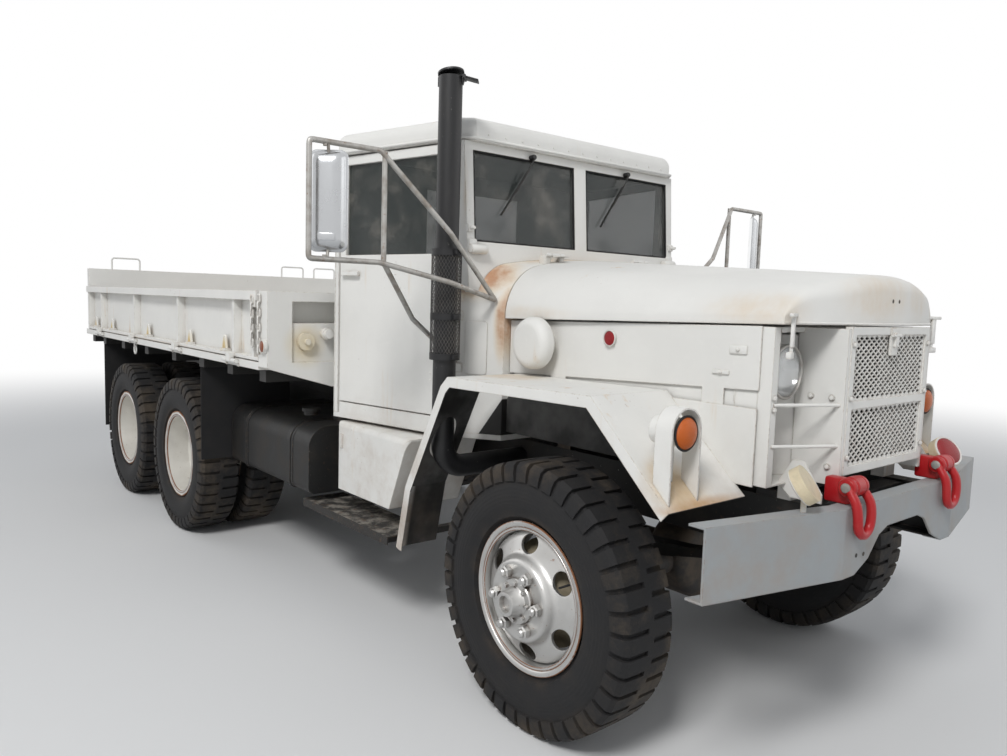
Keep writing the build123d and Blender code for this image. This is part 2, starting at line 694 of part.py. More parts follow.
def hood_section(x, half, edge, top, low):
    """A closed hood cross-section: upright sides, round shoulders and a slight crown."""
    flat = half - HOOD_SHOULDER_FLAT
    side = edge + 26
    shoulder = (half - HOOD_SHOULDER, side + (top - HOOD_SHOULDER - side) * HOOD_SHOULDER_BOW)
    brow = top - 40
    right = Line((x, -half, low), (x, -half, side))
    turn = ThreePointArc((x, -half, side), (x, -shoulder[0], shoulder[1]), (x, -flat, brow))
    crown = ThreePointArc((x, -flat, brow), (x, 0, top), (x, flat, brow))
    back = ThreePointArc((x, flat, brow), (x, shoulder[0], shoulder[1]), (x, half, side))
    left = Line((x, half, side), (x, half, low))
    base = Line((x, half, low), (x, -half, low))
    return make_face([right, turn, crown, back, left, base])


def hood_solid(inset):
    """The hood as a solid, its nose bowed in plan and rounded over."""
    rear_x, front_x = COWL_FRONT + PANEL_GAP - inset, HOOD_FRONT - inset
    rear_half, front_half = HOOD_REAR_HALF - inset, HOOD_FRONT_HALF - inset
    rear = hood_section(rear_x, rear_half, HOOD_REAR_EDGE_Z, HOOD_REAR_TOP - inset, HOOD_REAR_EDGE_Z)
    front = hood_section(front_x, front_half, HOOD_FRONT_EDGE_Z, HOOD_FRONT_TOP - inset, HOOD_FRONT_EDGE_Z)
    body = loft([rear, front], ruled=True)
    wide = HOOD_REAR_HALF + 50
    corner = HOOD_CORNER_X - inset
    low = HOOD_REAR_EDGE_Z - 100
    sides = Polyline((corner, -front_half, low), (corner, -wide, low), (rear_x - 10, -wide, low),
                     (rear_x - 10, wide, low), (corner, wide, low), (corner, front_half, low))
    lip = ThreePointArc((corner, front_half, low), (front_x, 0, low), (corner, -front_half, low))
    return body & extrude(make_face(sides.edges() + lip.edges()), amount=500, dir=(0, 0, 1))


def hood():
    """The one-piece hood, a shell open below, with its two hinge ears at the cowl."""
    outer = hood_solid(0)
    inner = hood_solid(HOOD_WALL)
    inner = Pos(0, 0, -0.01) * inner
    body = outer - inner
    for side in (-1, 1):
        body += hood_barrel(side * HOOD_HINGE_Y, 50, 1)
    return body


def side_panel():
    """The flat panel under the hood's right edge, which carries the round intake cover."""
    outline = [(COWL_FRONT + PANEL_GAP, SIDE_PANEL_LOW - 52), (SIDE_PANEL_FRONT, SIDE_PANEL_LOW),
               (SIDE_PANEL_FRONT, HOOD_FRONT_EDGE_Z - 10), (COWL_FRONT + PANEL_GAP, HOOD_REAR_EDGE_Z - 8)]
    y = (-HOOD_FRONT_HALF - SIDE_PANEL_WALL, -HOOD_FRONT_HALF)
    body = side_profile(outline, y)
    for x in (-300.0, 470.0):
        body += block((x - 45, x + 45), y, (INNER_FENDER_TOP - 30, SIDE_PANEL_LOW + 20))
    return body


def intake_dome():
    """The mushroom-shaped air intake cover on the right side panel."""
    x, z = -392.0, 1416.0
    stem = rod((x, -HOOD_FRONT_HALF - SIDE_PANEL_WALL, z), (x, -HOOD_FRONT_HALF - 60, z), 70)
    cap = rod((x, -HOOD_FRONT_HALF - 50, z), (x, -HOOD_FRONT_HALF - 110, z), 110)
    cap = fillet(cap.faces().sort_by(Axis.Y)[0].edges(), 38)
    return stem + cap


def fender_band(depth, y):
    """The fender's outline as a band of a given depth below its outer line, between two y values."""
    line = [Vector(a, b) for a, b in FENDER_LINE]
    inner = []
    for index, point in enumerate(line):
        before = line[max(index - 1, 0)]
        after = line[min(index + 1, len(line) - 1)]
        run_in = (point - before).normalized() if index else (after - point).normalized()
        run_out = (after - point).normalized() if index < len(line) - 1 else run_in
        middle = (run_in + run_out).normalized()
        normal = Vector(middle.Y, -middle.X)
        reach = depth / max(0.3, normal.dot(Vector(run_in.Y, -run_in.X)))
        inner.append(point + normal * reach)
    points = [(p.X, p.Y) for p in line] + [(p.X, p.Y) for p in reversed(inner)]
    return side_profile(points, y)


def fender():
    """The right front fender: top, slopes, turned-down lip and the inner panel beside the engine."""
    skin = fender_band(FENDER_WALL, (-FENDER_OUT, -FENDER_IN))
    skin -= block((-1000, COWL_FRONT + 60), (-FENDER_REAR_IN, 0), (0, 2000))
    lip = fender_band(FENDER_LIP, (-FENDER_OUT, -FENDER_OUT + FENDER_WALL))
    panel_y = (-FENDER_IN - FENDER_WALL, -FENDER_IN)
    body = skin + lip + block((COWL_FRONT, SIDE_PANEL_FRONT), panel_y, (1000, INNER_FENDER_TOP))
    body -= stack_pipe(STACK_RADIUS + 8)
    return body


def diamond_mesh(y, z, x):
    """A flat sheet between pairs of y and z values, pierced by staggered rows of diamonds."""
    across, up = MESH_PITCH
    columns = round((y[1] - y[0]) / across)
    rows = round((z[1] - z[0]) / up)
    step = ((y[1] - y[0]) / columns, (z[1] - z[0]) / rows)
    reach = (step[0] / 2 - MESH_BAR * 0.9, step[1] / 2 - MESH_BAR * 0.6)
    (left, right), (low, high) = (y[0] - MESH_EDGE, y[1] + MESH_EDGE), (z[0] - MESH_EDGE, z[1] + MESH_EDGE)
    frame = [(left, low), (right, low), (right, high), (left, high)]
    holes = []
    for half_row in range(1, 2 * rows):
        odd = half_row % 2
        for column in range(columns if odd else columns - 1):
            cy = y[0] + (column + (0.5 if odd else 1.0)) * step[0]
            cz = z[0] + half_row * step[1] / 2
            diamond = [(cy - reach[0], cz), (cy, cz - reach[1]), (cy + reach[0], cz), (cy, cz + reach[1])]
            holes.append(Wire(Polyline(*[(x, a, b) for a, b in diamond], close=True).edges()))
    outer = Wire(Polyline(*[(x, a, b) for a, b in frame], close=True).edges())
    return extrude(Face(outer, holes), amount=MESH_WALL, dir=(-1, 0, 0))


def grille():
    """The brush guard over the radiator: its frame, two panels of diamond mesh and the hood's latch."""
    x = (GRILLE_X - GRILLE_DEPTH, GRILLE_X)
    low, high = GRILLE_Z
    inner = GRILLE_HALF - GRILLE_FRAME
    panels = ((low + GRILLE_FRAME, GRILLE_BAR_Z[0]), (GRILLE_BAR_Z[1], high - GRILLE_FRAME))
    body = block(x, (-GRILLE_HALF, GRILLE_HALF), GRILLE_Z)
    for z in panels:
        body -= block((x[0] - 1, x[1] + 1), (-inner, inner), z)
    for z in panels:
        body += diamond_mesh((-inner, inner), z, GRILLE_X - 8)
    body += block((GRILLE_X - 4, GRILLE_X + 6), (-24, 24), (high - 100, high - 4))
    body += block((GRILLE_X, GRILLE_X + 16), (-12, 12), (high - 70, high - 20))
    return body + rod((GRILLE_X + 12, -34, high - 30), (GRILLE_X + 12, 34, high - 30), 5)


def nose_frame():
    """Corner posts, top bar, guard bars, the stays beside the grille and their feet on the rails."""
    y_post = HOOD_FRONT_HALF - 2
    top = (HOOD_FRONT_EDGE_Z - 30, HOOD_FRONT_EDGE_Z - 12)
    wall = POST_WALL
    stay_out = GRILLE_HALF + STAY_WIDTH
    body = block((POST_X[0], POST_X[0] + 20), (-y_post, y_post), top)
    for side in (-1, 1):
        def span(inner, outer):
            return (min(side * inner, side * outer), max(side * inner, side * outer))

        body += block(POST_X, span(y_post - wall, y_post), (POST_LOW, top[1]))
        body += block((POST_X[1] - wall, POST_X[1]), span(y_post - POST_FACE, y_post), (POST_LOW, top[1]))
        body += block(POST_X, span(GRILLE_HALF, y_post), (POST_LOW, POST_LOW + wall))
        body += block((POST_X[0], GRILLE_X - 4), span(GRILLE_HALF, stay_out), (POST_LOW, top[1]))
        body += block(POST_X, span(GRILLE_HALF, RAIL_Y), (RAIL_TOP, POST_LOW))
        body += block((BAY_WALL_X, POST_X[0] + 4), span(GRILLE_HALF, y_post), (POST_LOW, POST_LOW + wall))
        body += block((BAY_WALL_X, BAY_WALL_X + wall), span(GRILLE_HALF, y_post), (POST_LOW, top[0] - 20))
        for z in GUARD_BAR_Z:
            post = (POST_X[1] - 2, side * (y_post - POST_FACE / 2), z)
            body += rod(post, (GRILLE_X - 20, side * (stay_out - 4), z), 6)
        body += gusset(side)
        catch = (POST_X[0] + 26, side * HOLD_DOWN_Y)
        body += rod((*catch, HEADLIGHT_PLACE[1] + 98), (*catch, top[0] + 6), 7)
        body += block((POST_X[0] + 8, POST_X[0] + 44), span(HOLD_DOWN_Y - 16, HOLD_DOWN_Y + 16), top)
    return body


def gusset(side):
    """The slotted plate that ties the nose to the bumper's upper flange."""
    front = BUMPER_FRONT - BUMPER_FLANGE - 20
    outline = [(POST_X[1] - 30, POST_LOW), (POST_X[1] + 20, POST_LOW + 88), (POST_X[1] + 62, POST_LOW + 88),
               (front, BUMPER_TOP + 30), (front, BUMPER_TOP), (POST_X[1] + 20, BUMPER_TOP)]
    y = (side * GUSSET_Y, side * (GUSSET_Y + POST_WALL))
    plate = side_profile(outline, (min(y), max(y)))
    slot = Pos(POST_X[1] + 56, side * GUSSET_Y, POST_LOW + 24) * Rot(90, 0, 0) * Rot(0, 0, 38)
    return plate - slot * extrude(SlotOverall(62, 22), amount=60, both=True)


def headlight(y):
    """A round lamp in its bucket, on an arm from the stay beside the grille."""
    x, z = HEADLIGHT_PLACE
    # columns: distance behind the glass, radius
    bucket = turned([(0, 0), (0, 88), (-16, 92), (-70, 62), (-110, 22), (-110, 0)], 0, 0, 0)
    lamp = Pos(x, y, z) * Rot(0, 0, -90) * bucket
    side = 1 if y > 0 else -1
    ends = (y, side * (GRILLE_HALF + STAY_WIDTH))
    lamp += block((x - 60, x - 30), (min(ends), max(ends)), (z - 12, z + 12))
    ends = (y + side * 70, side * (HOOD_FRONT_HALF - 2 - POST_WALL))
    return lamp + block((x - 34, x - 20), (min(ends), max(ends)), (z - 22, z + 22))


def turn_signal():
    """The amber lamp on the right fender's slope, inside its hoop-shaped guard."""
    x, y, z = SIGNAL_PLACE
    lamp = rod((x - 110, y, z), (x, y, z), 46)
    foot = block((x - 95, x - 55), (y - 18, y + 18), (z - 280, z))
    hoop = rod((x - 60, y, z + 6), (x + 6, y, z + 6), 74) - rod((x - 70, y, z + 6), (x + 20, y, z + 6), 68)
    hoop -= block((x - 80, x + 30), (y - 90, y + 90), (z - 120, z + 6))
    for inner in (y - 74, y + 68):
        hoop += block((x - 60, x + 6), (inner, inner + 6), (z - 280, z + 6))
    return (lamp + foot + hoop) - fender_solid_below()


def fender_solid_below():
    """All that lies under the right fender's front slope, used to seat what stands on it."""
    (x0, z0), (x1, z1) = FENDER_LINE[-2], FENDER_LINE[-1]
    fall = (z1 - z0) / (x1 - x0)
    far = x1 + 400
    outline = [(x0 - 100, 300), (x0 - 100, z0), (x0, z0), (far, z0 + fall * (far - x0)), (far, 300)]
    return side_profile(outline, (-FENDER_OUT - 50, -500))


def cowl_solid(inset, front_x):
    """The cowl's outer form as a solid, set in by the given wall."""
    low = CAB_FLOOR_Z + CAB_FLOOR_WALL
    half = cab_half(COWL_REAR)
    front = hood_section(front_x, HOOD_REAR_HALF - inset, HOOD_REAR_EDGE_Z, HOOD_REAR_TOP - inset, low)
    rear = hood_section(COWL_REAR, half - inset, HOOD_REAR_EDGE_Z + 80, WINDSHIELD_BASE_Z - inset, low)
    return loft([front, rear], ruled=True)


def cowl():
    """The cowl: firewall, sides and curved top, with the instrument panel and the steering column."""
    room = cowl_solid(CAB_WALL, COWL_FRONT - CAB_WALL)
    body = cowl_solid(0, COWL_FRONT) - room
    body += block((COWL_REAR, COWL_REAR + 40), (-900, 900), DASH_Z) & room
    foot, top = Vector(*COLUMN_FOOT), Vector(*WHEEL_CENTRE)
    end = top - (top - foot).normalized() * (20 + HINGE_GAP)
    body += rod(tuple(foot), tuple(end), COLUMN_RADIUS)
    under = WHEEL_CENTRE[2] - (COWL_REAR - WHEEL_CENTRE[0]) * COLUMN_FALL
    bracket_y = (WHEEL_CENTRE[1] - 34, WHEEL_CENTRE[1] + 34)
    body += block((COWL_REAR, COWL_REAR + 14), bracket_y, (under - 10, DASH_Z[0] + 10))
    for side in (-1, 1):
        for y in (HOOD_HINGE_Y - 42, HOOD_HINGE_Y + 42):
            body += hood_barrel(side * y, 30, -1)
        for z in DOOR_HINGE_Z:
            for step in (-1, 1):
                body += door_barrel(side, z + step * 42, 1)
    return body


def hood_barrel(y, length, forward):
    """One barrel of a hood hinge with its short strap, forward onto the hood or back onto the cowl."""
    x, z = HOOD_HINGE
    barrel = rod((x, y - length / 2, z), (x, y + length / 2, z), 9)
    ends = (x, x + forward * 46)
    strap = block((min(ends), max(ends)), (y - length / 2, y + length / 2), (z - 50, z - 1))
    if forward < 0:
        return barrel + (strap - cowl_solid(CAB_WALL / 2, COWL_FRONT - CAB_WALL / 2))
    return barrel + (strap - hood_solid(HOOD_WALL / 2))


def door_barrel(side, z, forward):
    """One barrel of a door hinge with its leaf, forward onto the cowl or back onto the door."""
    x = DOOR_HINGE_X
    y = side * (cab_half(x) + DOOR_HINGE_OUT)
    end = x + forward * 40
    if forward > 0:
        share = (end - COWL_REAR) / (COWL_FRONT - COWL_REAR)
        face = cab_half(COWL_REAR) + share * (HOOD_REAR_HALF - cab_half(COWL_REAR))
        inner = [side * (cab_half(COWL_REAR) - CAB_WALL / 2), side * (face - CAB_WALL / 2)]
        start = COWL_REAR
    else:
        face = cab_half(end)
        inner = [side * (cab_half(DOOR_FRONT) - CAB_WALL / 2), side * (face - CAB_WALL / 2)]
        start = DOOR_FRONT
    leaf = [(x, y - side * 3), (start, inner[0]), (end, inner[1])]
    leaf += [(end, side * (face + 6)), (x, y + side * 3)]
    leaf_face = make_face(Polyline(*[(px, py, z - 20) for px, py in leaf], close=True))
    return rod((x, y, z - 20), (x, y, z + 20), 8) + extrude(leaf_face, amount=40, dir=(0, 0, 1))


def cab_floor():
    """The floor pan with its sills and the pads that it stands on."""
    top = CAB_FLOOR_Z + CAB_FLOOR_WALL
    half_front = HOOD_REAR_HALF
    rear = CAB_REAR
    mid_x = COWL_REAR
    plan = [(COWL_FRONT, -half_front), (mid_x, -cab_half(mid_x)), (rear, -cab_half(rear)),
            (rear, cab_half(rear)), (mid_x, cab_half(mid_x)), (COWL_FRONT, half_front)]
    body = plan_profile(plan, (CAB_FLOOR_Z, top))
    sill_front, sill_rear = DOOR_FRONT, DOOR_REAR
    for side in (-1, 1):
        sill = [(sill_front, side * cab_half(sill_front)), (sill_rear, side * cab_half(sill_rear)),
                (sill_rear, side * (cab_half(rear) - 60)), (sill_front, side * (cab_half(sill_front) - 50))]
        body += plan_profile(sill if side < 0 else list(reversed(sill)), (top, DOOR_LOW - PANEL_GAP))
        for x in (-1500.0, -800.0):
            y = (side * (RAIL_Y - RAIL_FLANGE), side * RAIL_Y)
            body += block((x - 50, x + 50), (min(y), max(y)), (RAIL_TOP, CAB_FLOOR_Z))
    return body


def cab_back():
    """The back wall with its corner posts and the rear window's opening."""
    low = CAB_FLOOR_Z + CAB_FLOOR_WALL
    half = CAB_REAR_HALF
    body = block((CAB_REAR, CAB_REAR + CAB_WALL), (-half, half), (low, ROOF_LOW))
    body -= block((CAB_REAR - 10, CAB_REAR + 50), (-REAR_WINDOW_HALF, REAR_WINDOW_HALF), REAR_WINDOW_Z)
    for side in (-1, 1):
        post_x = DOOR_REAR - PANEL_GAP - (DOOR_WALL + 4) * CAB_TAPER
        post = [(CAB_REAR, side * half), (post_x, side * cab_half(post_x)),
                (post_x, side * (cab_half(post_x) - 34)), (CAB_REAR, side * (half - 34))]
        body += plan_profile(post if side < 0 else list(reversed(post)), (low, ROOF_LOW))
    return body


def windshield_plane():
    """The plane of the windshield's front face, leaning back a little."""
    lean = Vector(-WINDSHIELD_RAKE, 0, WINDSHIELD_HEIGHT).normalized()
    foot = (WINDSHIELD_BASE_X, 0, WINDSHIELD_BASE_Z)
    return Plane(origin=foot, x_dir=(0, 1, 0), z_dir=Vector(0, 1, 0).cross(lean))


def windshield_frame():
    """The two-pane windshield's frame with its pillars and the apron down to the cowl."""
    height = hypot(WINDSHIELD_HEIGHT, WINDSHIELD_RAKE)
    low = -180
    outline = [(-WINDSHIELD_HALF, low), (WINDSHIELD_HALF, low), (WINDSHIELD_HALF + 8, height + 20),
               (-WINDSHIELD_HALF - 8, height + 20)]
    face = make_face(Polyline(*outline, close=True))
    for side in (-1, 1):
        middle = side * (PANE_OUT + PANE_IN) / 2
        face -= Pos(middle, (PANE_LOW + PANE_HIGH) / 2) * Rectangle(PANE_OUT - PANE_IN, PANE_HIGH - PANE_LOW)
    body = extrude(windshield_plane() * face, amount=-WINDSHIELD_WALL)
    behind = extrude(windshield_plane() * Rectangle(3000, 3000), amount=-300)
    for side in (-1, 1):
        front_x = WINDSHIELD_BASE_X + 60
        pillar = [(front_x, side * (WINDSHIELD_HALF - 40)), (front_x, side * cab_half(front_x)),
                  (COWL_REAR, side * cab_half(COWL_REAR)), (COWL_REAR, side * (WINDSHIELD_HALF - 12))]
        if side > 0:
            pillar.reverse()
        body += plan_profile(pillar, (WINDSHIELD_BASE_Z - 160, ROOF_LOW)) & behind
    body -= block((-900, -500), (-900, 900), (ROOF_LOW, ROOF_LOW + 200))
    return body - cowl_solid(0, COWL_FRONT)


def cab_glass():
    """The two windshield panes and the rear window."""
    panes = []
    for side in (-1, 1):
        middle = side * (PANE_OUT + PANE_IN) / 2
        pane = Pos(middle, (PANE_LOW + PANE_HIGH) / 2) * Rectangle(PANE_OUT - PANE_IN, PANE_HIGH - PANE_LOW)
        panes.append(extrude(windshield_plane().offset(-2 * GLASS_WALL) * pane, amount=-GLASS_WALL))
    rear = (CAB_REAR + 1, CAB_REAR + 1 + GLASS_WALL)
    panes.append(block(rear, (-REAR_WINDOW_HALF, REAR_WINDOW_HALF), REAR_WINDOW_Z))
    return panes


def roof_solid(inset):
    """The hard top as a solid: its plan follows the cab and its upper edges are rounded."""
    front = WINDSHIELD_BASE_X - WINDSHIELD_RAKE + VISOR - inset
    rear = CAB_REAR - 12 + inset
    half_front, half_rear = WINDSHIELD_HALF + 22 - inset, CAB_REAR_HALF + 10 - inset
    cut = ROOF_CORNER
    plan = [(front, -half_front + cut), (front - cut, -half_front)]
    plan += [(rear + cut, -half_rear), (rear, -half_rear + cut)]
    plan += [(a, -b) for a, b in reversed(plan)]
    body = plan_profile(plan, (ROOF_LOW, ROOF_HIGH - inset))
    return fillet(body.faces().sort_by(Axis.Z)[-1].edges(), ROOF_ROUND - inset)


def roof():
    """The hard top: a shell open below, standing on the windshield, back wall and door frames' line."""
    room = roof_solid(CAB_WALL) - block((-2000, 0), (-1000, 1000), (ROOF_LOW - 10, ROOF_LOW + CAB_WALL))
    front = WINDSHIELD_BASE_X - WINDSHIELD_RAKE - WINDSHIELD_WALL - 16
    hole = [(front, -WINDSHIELD_HALF + 50), (CAB_REAR + 30, -CAB_REAR_HALF + 70)]
    hole += [(a, -b) for a, b in reversed(hole)]
    return roof_solid(0) - room - plan_profile(hole, (ROOF_LOW - 10, ROOF_LOW + 2 * CAB_WALL))


def door():
    """The right door: a panel as thick as the real one, with its window frame."""
    x0, x1 = DOOR_FRONT, DOOR_REAR
    y0, y1 = -cab_half(x0), -cab_half(x1)
    run = Vector(x1 - x0, y1 - y0).normalized()
    length = hypot(x1 - x0, y1 - y0)
    outward = Vector(run.X, run.Y, 0).cross(Vector(0, 0, 1))
    plane = Plane(origin=(x0, y0, DOOR_LOW), x_dir=(run.X, run.Y, 0), z_dir=outward)
    height = DOOR_HIGH - DOOR_LOW
    belt = BELT_Z - DOOR_LOW
    outline = Pos(length / 2, height / 2) * Rectangle(length, height)
    low, high = belt + 30, height - DOOR_FRAME
    window = Pos(length / 2, (low + high) / 2) * Rectangle(length - 2 * DOOR_FRAME, high - low)
    inward = -1 if outward.Y < 0 else 1
    panel = extrude(plane * (outline - window), amount=inward * DOOR_WALL)
    for z in DOOR_HINGE_Z:
        panel += door_barrel(-1, z, -1)
    grip = Pos(length - 95, belt - 62, -inward * 20) * Box(130, 22, 8)
    for step in (-45, 45):
        grip += Pos(length - 95 + step, belt - 62, -inward * 7) * Box(18, 22, 20)
    panel += plane * grip
    glass = extrude(plane.offset(inward * (DOOR_WALL - GLASS_WALL) / 2) * window, amount=inward * GLASS_WALL)
    return panel, glass


def seats():
    """Two seat boxes with the bent tubes that hold their backs."""
    pieces = []
    tube_x = SEAT_BACK_X[0] - SEAT_TUBE
    for y in SEAT_Y:
        low = CAB_FLOOR_Z + CAB_FLOOR_WALL
        body = block(SEAT_BOX_X, (y - SEAT_HALF + 10, y + SEAT_HALF - 10), (low, SEAT_Z))
        ends = [(tube_x, y - 180, SEAT_Z - 20), (tube_x, y - 180, SEAT_BACK_TOP - 40)]
        ends += [(tube_x, y + 180, z) for _, _, z in reversed(ends)]
        body += bent_rod(ends, SEAT_TUBE, 50)
        for foot in (y - 180, y + 180):
            bracket_x = (tube_x - SEAT_TUBE, SEAT_BOX_X[0] + 4)
            body += block(bracket_x, (foot - 15, foot + 15), (SEAT_Z - 50, SEAT_Z - 18))
        pieces.append(body)
    return pieces


def seat_cushions():
    """The seat and back cushions."""
    pieces = []
    for y in SEAT_Y:
        across = (y - SEAT_HALF, y + SEAT_HALF)
        cushion = block((SEAT_BACK_X[1] + HINGE_GAP, SEAT_BOX_X[1] + 20), across, (SEAT_Z, SEAT_Z + 110))
        back = block(SEAT_BACK_X, across, (SEAT_Z + 4, SEAT_BACK_TOP))
        pieces.append(fillet(cushion.edges(), SEAT_ROUND))
        pieces.append(fillet(back.edges(), SEAT_ROUND))
    return pieces


def steering_wheel():
    """The three-spoke steering wheel on its column."""
    axis = Vector(*WHEEL_CENTRE) - Vector(*COLUMN_FOOT)
    plane = Plane(origin=WHEEL_CENTRE, x_dir=(0, 1, 0), z_dir=axis)
    rim = plane * Torus(228, 13)
    hub = plane * Cylinder(40, 40)
    body = rim + hub
    for index in range(3):
        body += plane * Rot(0, 0, 90 + 120 * index) * Pos(114, 0, 0) * Box(220, 18, 12)
    return body


def stack_pipe(radius):
    """The exhaust's bent pipe, from the rail out to the cab's side and up."""
    path = [(STACK_X, -RAIL_Y, STACK_LOW), (STACK_X, STACK_Y, STACK_LOW), (STACK_X, STACK_Y, STACK_TOP)]
    return bent_rod(path, radius, 110)


def exhaust_stack():
    """The upright exhaust with its elbow to the rail, its heat shield and the rain flap."""
    body = stack_pipe(STACK_RADIUS)
    body += rod((STACK_X, STACK_Y, SHIELD_Z[0]), (STACK_X, STACK_Y, SHIELD_Z[1]), SHIELD_RADIUS)
    cap = Pos(STACK_X, STACK_Y, STACK_TOP + 14) * Rot(0, -12, 0) * Cylinder(STACK_RADIUS + 6, 8)
    rear = STACK_X - STACK_RADIUS
    hinge = block((rear - 26, rear + 8), (STACK_Y - 14, STACK_Y + 14), (STACK_TOP - 30, STACK_TOP + 10))
    return body + cap + hinge


def mirror_unit():
    """The right mirror: its tube frame bent round the exhaust, and the case turned to the driver."""
    x, y = MIRROR_POST_X, -MIRROR_POST_Y
    low, high = MIRROR_Z
    foot = (-652.0, -624.0, 1592.0)
    body = rod((x, y, low), (x, y, high), MIRROR_TUBE)
    # columns: height at the post, height at the bend before the exhaust
    for z, bend_z in ((high, 1860.0), (low, 1660.0)):
        bends = [(x, -MIRROR_HEAD_Y, z), (x, y - 20, z), (-608, -905, bend_z), foot]
        body += bent_rod(bends, MIRROR_TUBE, 30)
    body += bent_rod([(x, y, low), (-800, -960, 1500), (-800, -722, 1310)], MIRROR_TUBE, 30)
    case = Box(40, MIRROR_CASE[0], MIRROR_CASE[1])
    case = fillet(case.edges().filter_by(Axis.X), 40)
    for z, way in ((low, 1), (high, -1)):
        body += rod((x, -MIRROR_HEAD_Y, z), (x, -MIRROR_HEAD_Y, z + way * 40), MIRROR_TUBE - 3)
    body += Pos(x - 8, -MIRROR_HEAD_Y, (low + high) / 2) * Rot(0, 0, -40) * case
    return body - cowl_solid(0, COWL_FRONT)


def tank_form(x, grow):
    """The tank's rounded outline between two x values, grown by a strap's thickness."""
    body = block(x, (-TANK_OUT - grow, -RAIL_Y), (TANK_Z[0] - grow, TANK_Z[1] + grow))
    top_edge = body.edges().filter_by(Axis.X).group_by(Axis.Z)[-1].sort_by(Axis.Y)[0]
    body = fillet([top_edge], TANK_TOP_ROUND + grow)
    low_edge = body.edges().filter_by(Axis.X).group_by(Axis.Z)[0].sort_by(Axis.Y)[0]
    return fillet([low_edge], TANK_LOW_ROUND + grow)


def fuel_tank():
    """The fuel tank on the right rail, its outer top edge widely rounded, held by two straps."""
    body = tank_form(TANK_X, 0)
    length = TANK_X[1] - TANK_X[0]
    for share in (0.2, 0.8):
        x = TANK_X[0] + length * share
        body += tank_form((x - STRAP_WIDTH / 2, x + STRAP_WIDTH / 2), STRAP_WALL)
    return body + rod((TANK_X[1] - 170, -700, TANK_Z[1]), (TANK_X[1] - 170, -700, TANK_Z[1] + 34), 62)


def battery_box():
    """The battery box under the right door, its front end cut to clear the fender."""
    (rear, front), (low, high) = BATTERY_X, BATTERY_Z
    outline = [(rear, low), (front - 55, low), (front + 90, high - 10), (front + 90, high), (rear, high)]
    body = side_profile(outline, (-BATTERY_OUT, -500))
    outer = body.faces().sort_by(Axis.Y)[0].edges()
    body = fillet(outer.group_by(Axis.Z)[-1] + outer.filter_by(Axis.Z), BATTERY_ROUND)
    body += block((-1500, -1100), (-500, -RAIL_Y), (780, 880))
    latch = block((rear + 40, rear + 66), (-BATTERY_OUT - 8, -BATTERY_OUT + 4), (high - 130, high - 60))
    return body + latch


def running_board():
    """The step under the right door, hung from the rail on two straps."""
    inner = -STEP_OUT + STEP_WIDTH
    body = block(STEP_X, (-STEP_OUT, inner), (STEP_TOP - STEP_WALL, STEP_TOP))
    under = (STEP_X[0] - 1, STEP_X[1] + 1)
    body -= block(under, (-STEP_OUT + 6, inner - 6), (STEP_TOP - STEP_WALL - 1, STEP_TOP - 6))
    for x in STEP_STRAP_X:
        strap_x = (x - 20, x + 20)
        body += block(strap_x, (-STEP_OUT + 4, -RAIL_Y), (STEP_TOP - 40, STEP_TOP - 12))
        body += block(strap_x, (-RAIL_Y - STEP_STRAP_WALL, -RAIL_Y), (STEP_TOP - 40, RAIL_BOTTOM + 40))
    return body


def air_tanks():
    """Two air reservoirs on the left rail, each in two brackets."""
    pieces = []
    length = TANK_X[1] - TANK_X[0]
    half = length * 0.2
    for share in (0.26, 0.76):
        x = TANK_X[1] - share * length
        tank = rod((x - half, AIR_TANK_Y, AIR_TANK_Z), (x + half, AIR_TANK_Y, AIR_TANK_Z), AIR_TANK_RADIUS)
        tank = fillet(tank.edges().filter_by(GeomType.CIRCLE), 40)
        for end in (-half * 0.55, half * 0.55):
            bracket_x = (x + end - 15, x + end + 15)
            top = (AIR_TANK_Z + 80, AIR_TANK_Z + 110)
            tank += block(bracket_x, (RAIL_Y, AIR_TANK_Y), top)
            tank += block(bracket_x, (RAIL_Y + 30, RAIL_Y + 60), (AIR_TANK_Z, top[1]))
        pieces.append(tank)
    return pieces


def bed_floor():
    """The cargo floor, its edge sills, the bearers under it and the two long sills on the frame."""
    front = BED_FRONT - HEADBOARD_DEPTH
    body = block((BED_REAR, front), (-BED_HALF, BED_HALF), (BED_SILL_LOW + 22, BED_FLOOR_TOP))
    for side in (-1, 1):
        y = (side * (BED_HALF - 60), side * BED_HALF)
        body += block((BED_REAR, front), (min(y), max(y)), (BED_SILL_LOW, BED_FLOOR_TOP))
        y = (side * (RAIL_Y - RAIL_FLANGE), side * RAIL_Y)
        body += block((BED_REAR + 60, front), (min(y), max(y)), (RAIL_TOP, BED_SILL_LOW + 22))
    for x in BED_BEARER_X:
        reach = BEARER_LENGTH / 2
        y = (-BED_HALF + 40, BED_HALF - 40)
        body += block((x - reach, x + reach), y, (BED_BEARER_LOW, BED_SILL_LOW + 22))
    for x in SIDE_RIB_X:
        for side in (-1, 1):
            for end in (-1, 1):
                body += fixed_barrel(x + end * (BARREL_LENGTH + HINGE_GAP), side)
    for y in TAILGATE_HINGE_Y:
        for end in (-1, 1):
            body += rear_fixed_barrel(y + end * (BARREL_LENGTH + HINGE_GAP))
    return body


def fixed_barrel(x, side):
    """The part of a side's hinge that is welded to the sill."""
    half = BARREL_LENGTH / 2
    y = side * (BED_HALF + HINGE_AXIS_OUT)
    body = rod((x - half, y, HINGE_AXIS_Z), (x + half, y, HINGE_AXIS_Z), BARREL_RADIUS)
    span = (side * (BED_HALF - 2), y)
    strap_z = (HINGE_AXIS_Z - BARREL_RADIUS, HINGE_AXIS_Z)
    return body + block((x - half, x + half), (min(span), max(span)), strap_z)


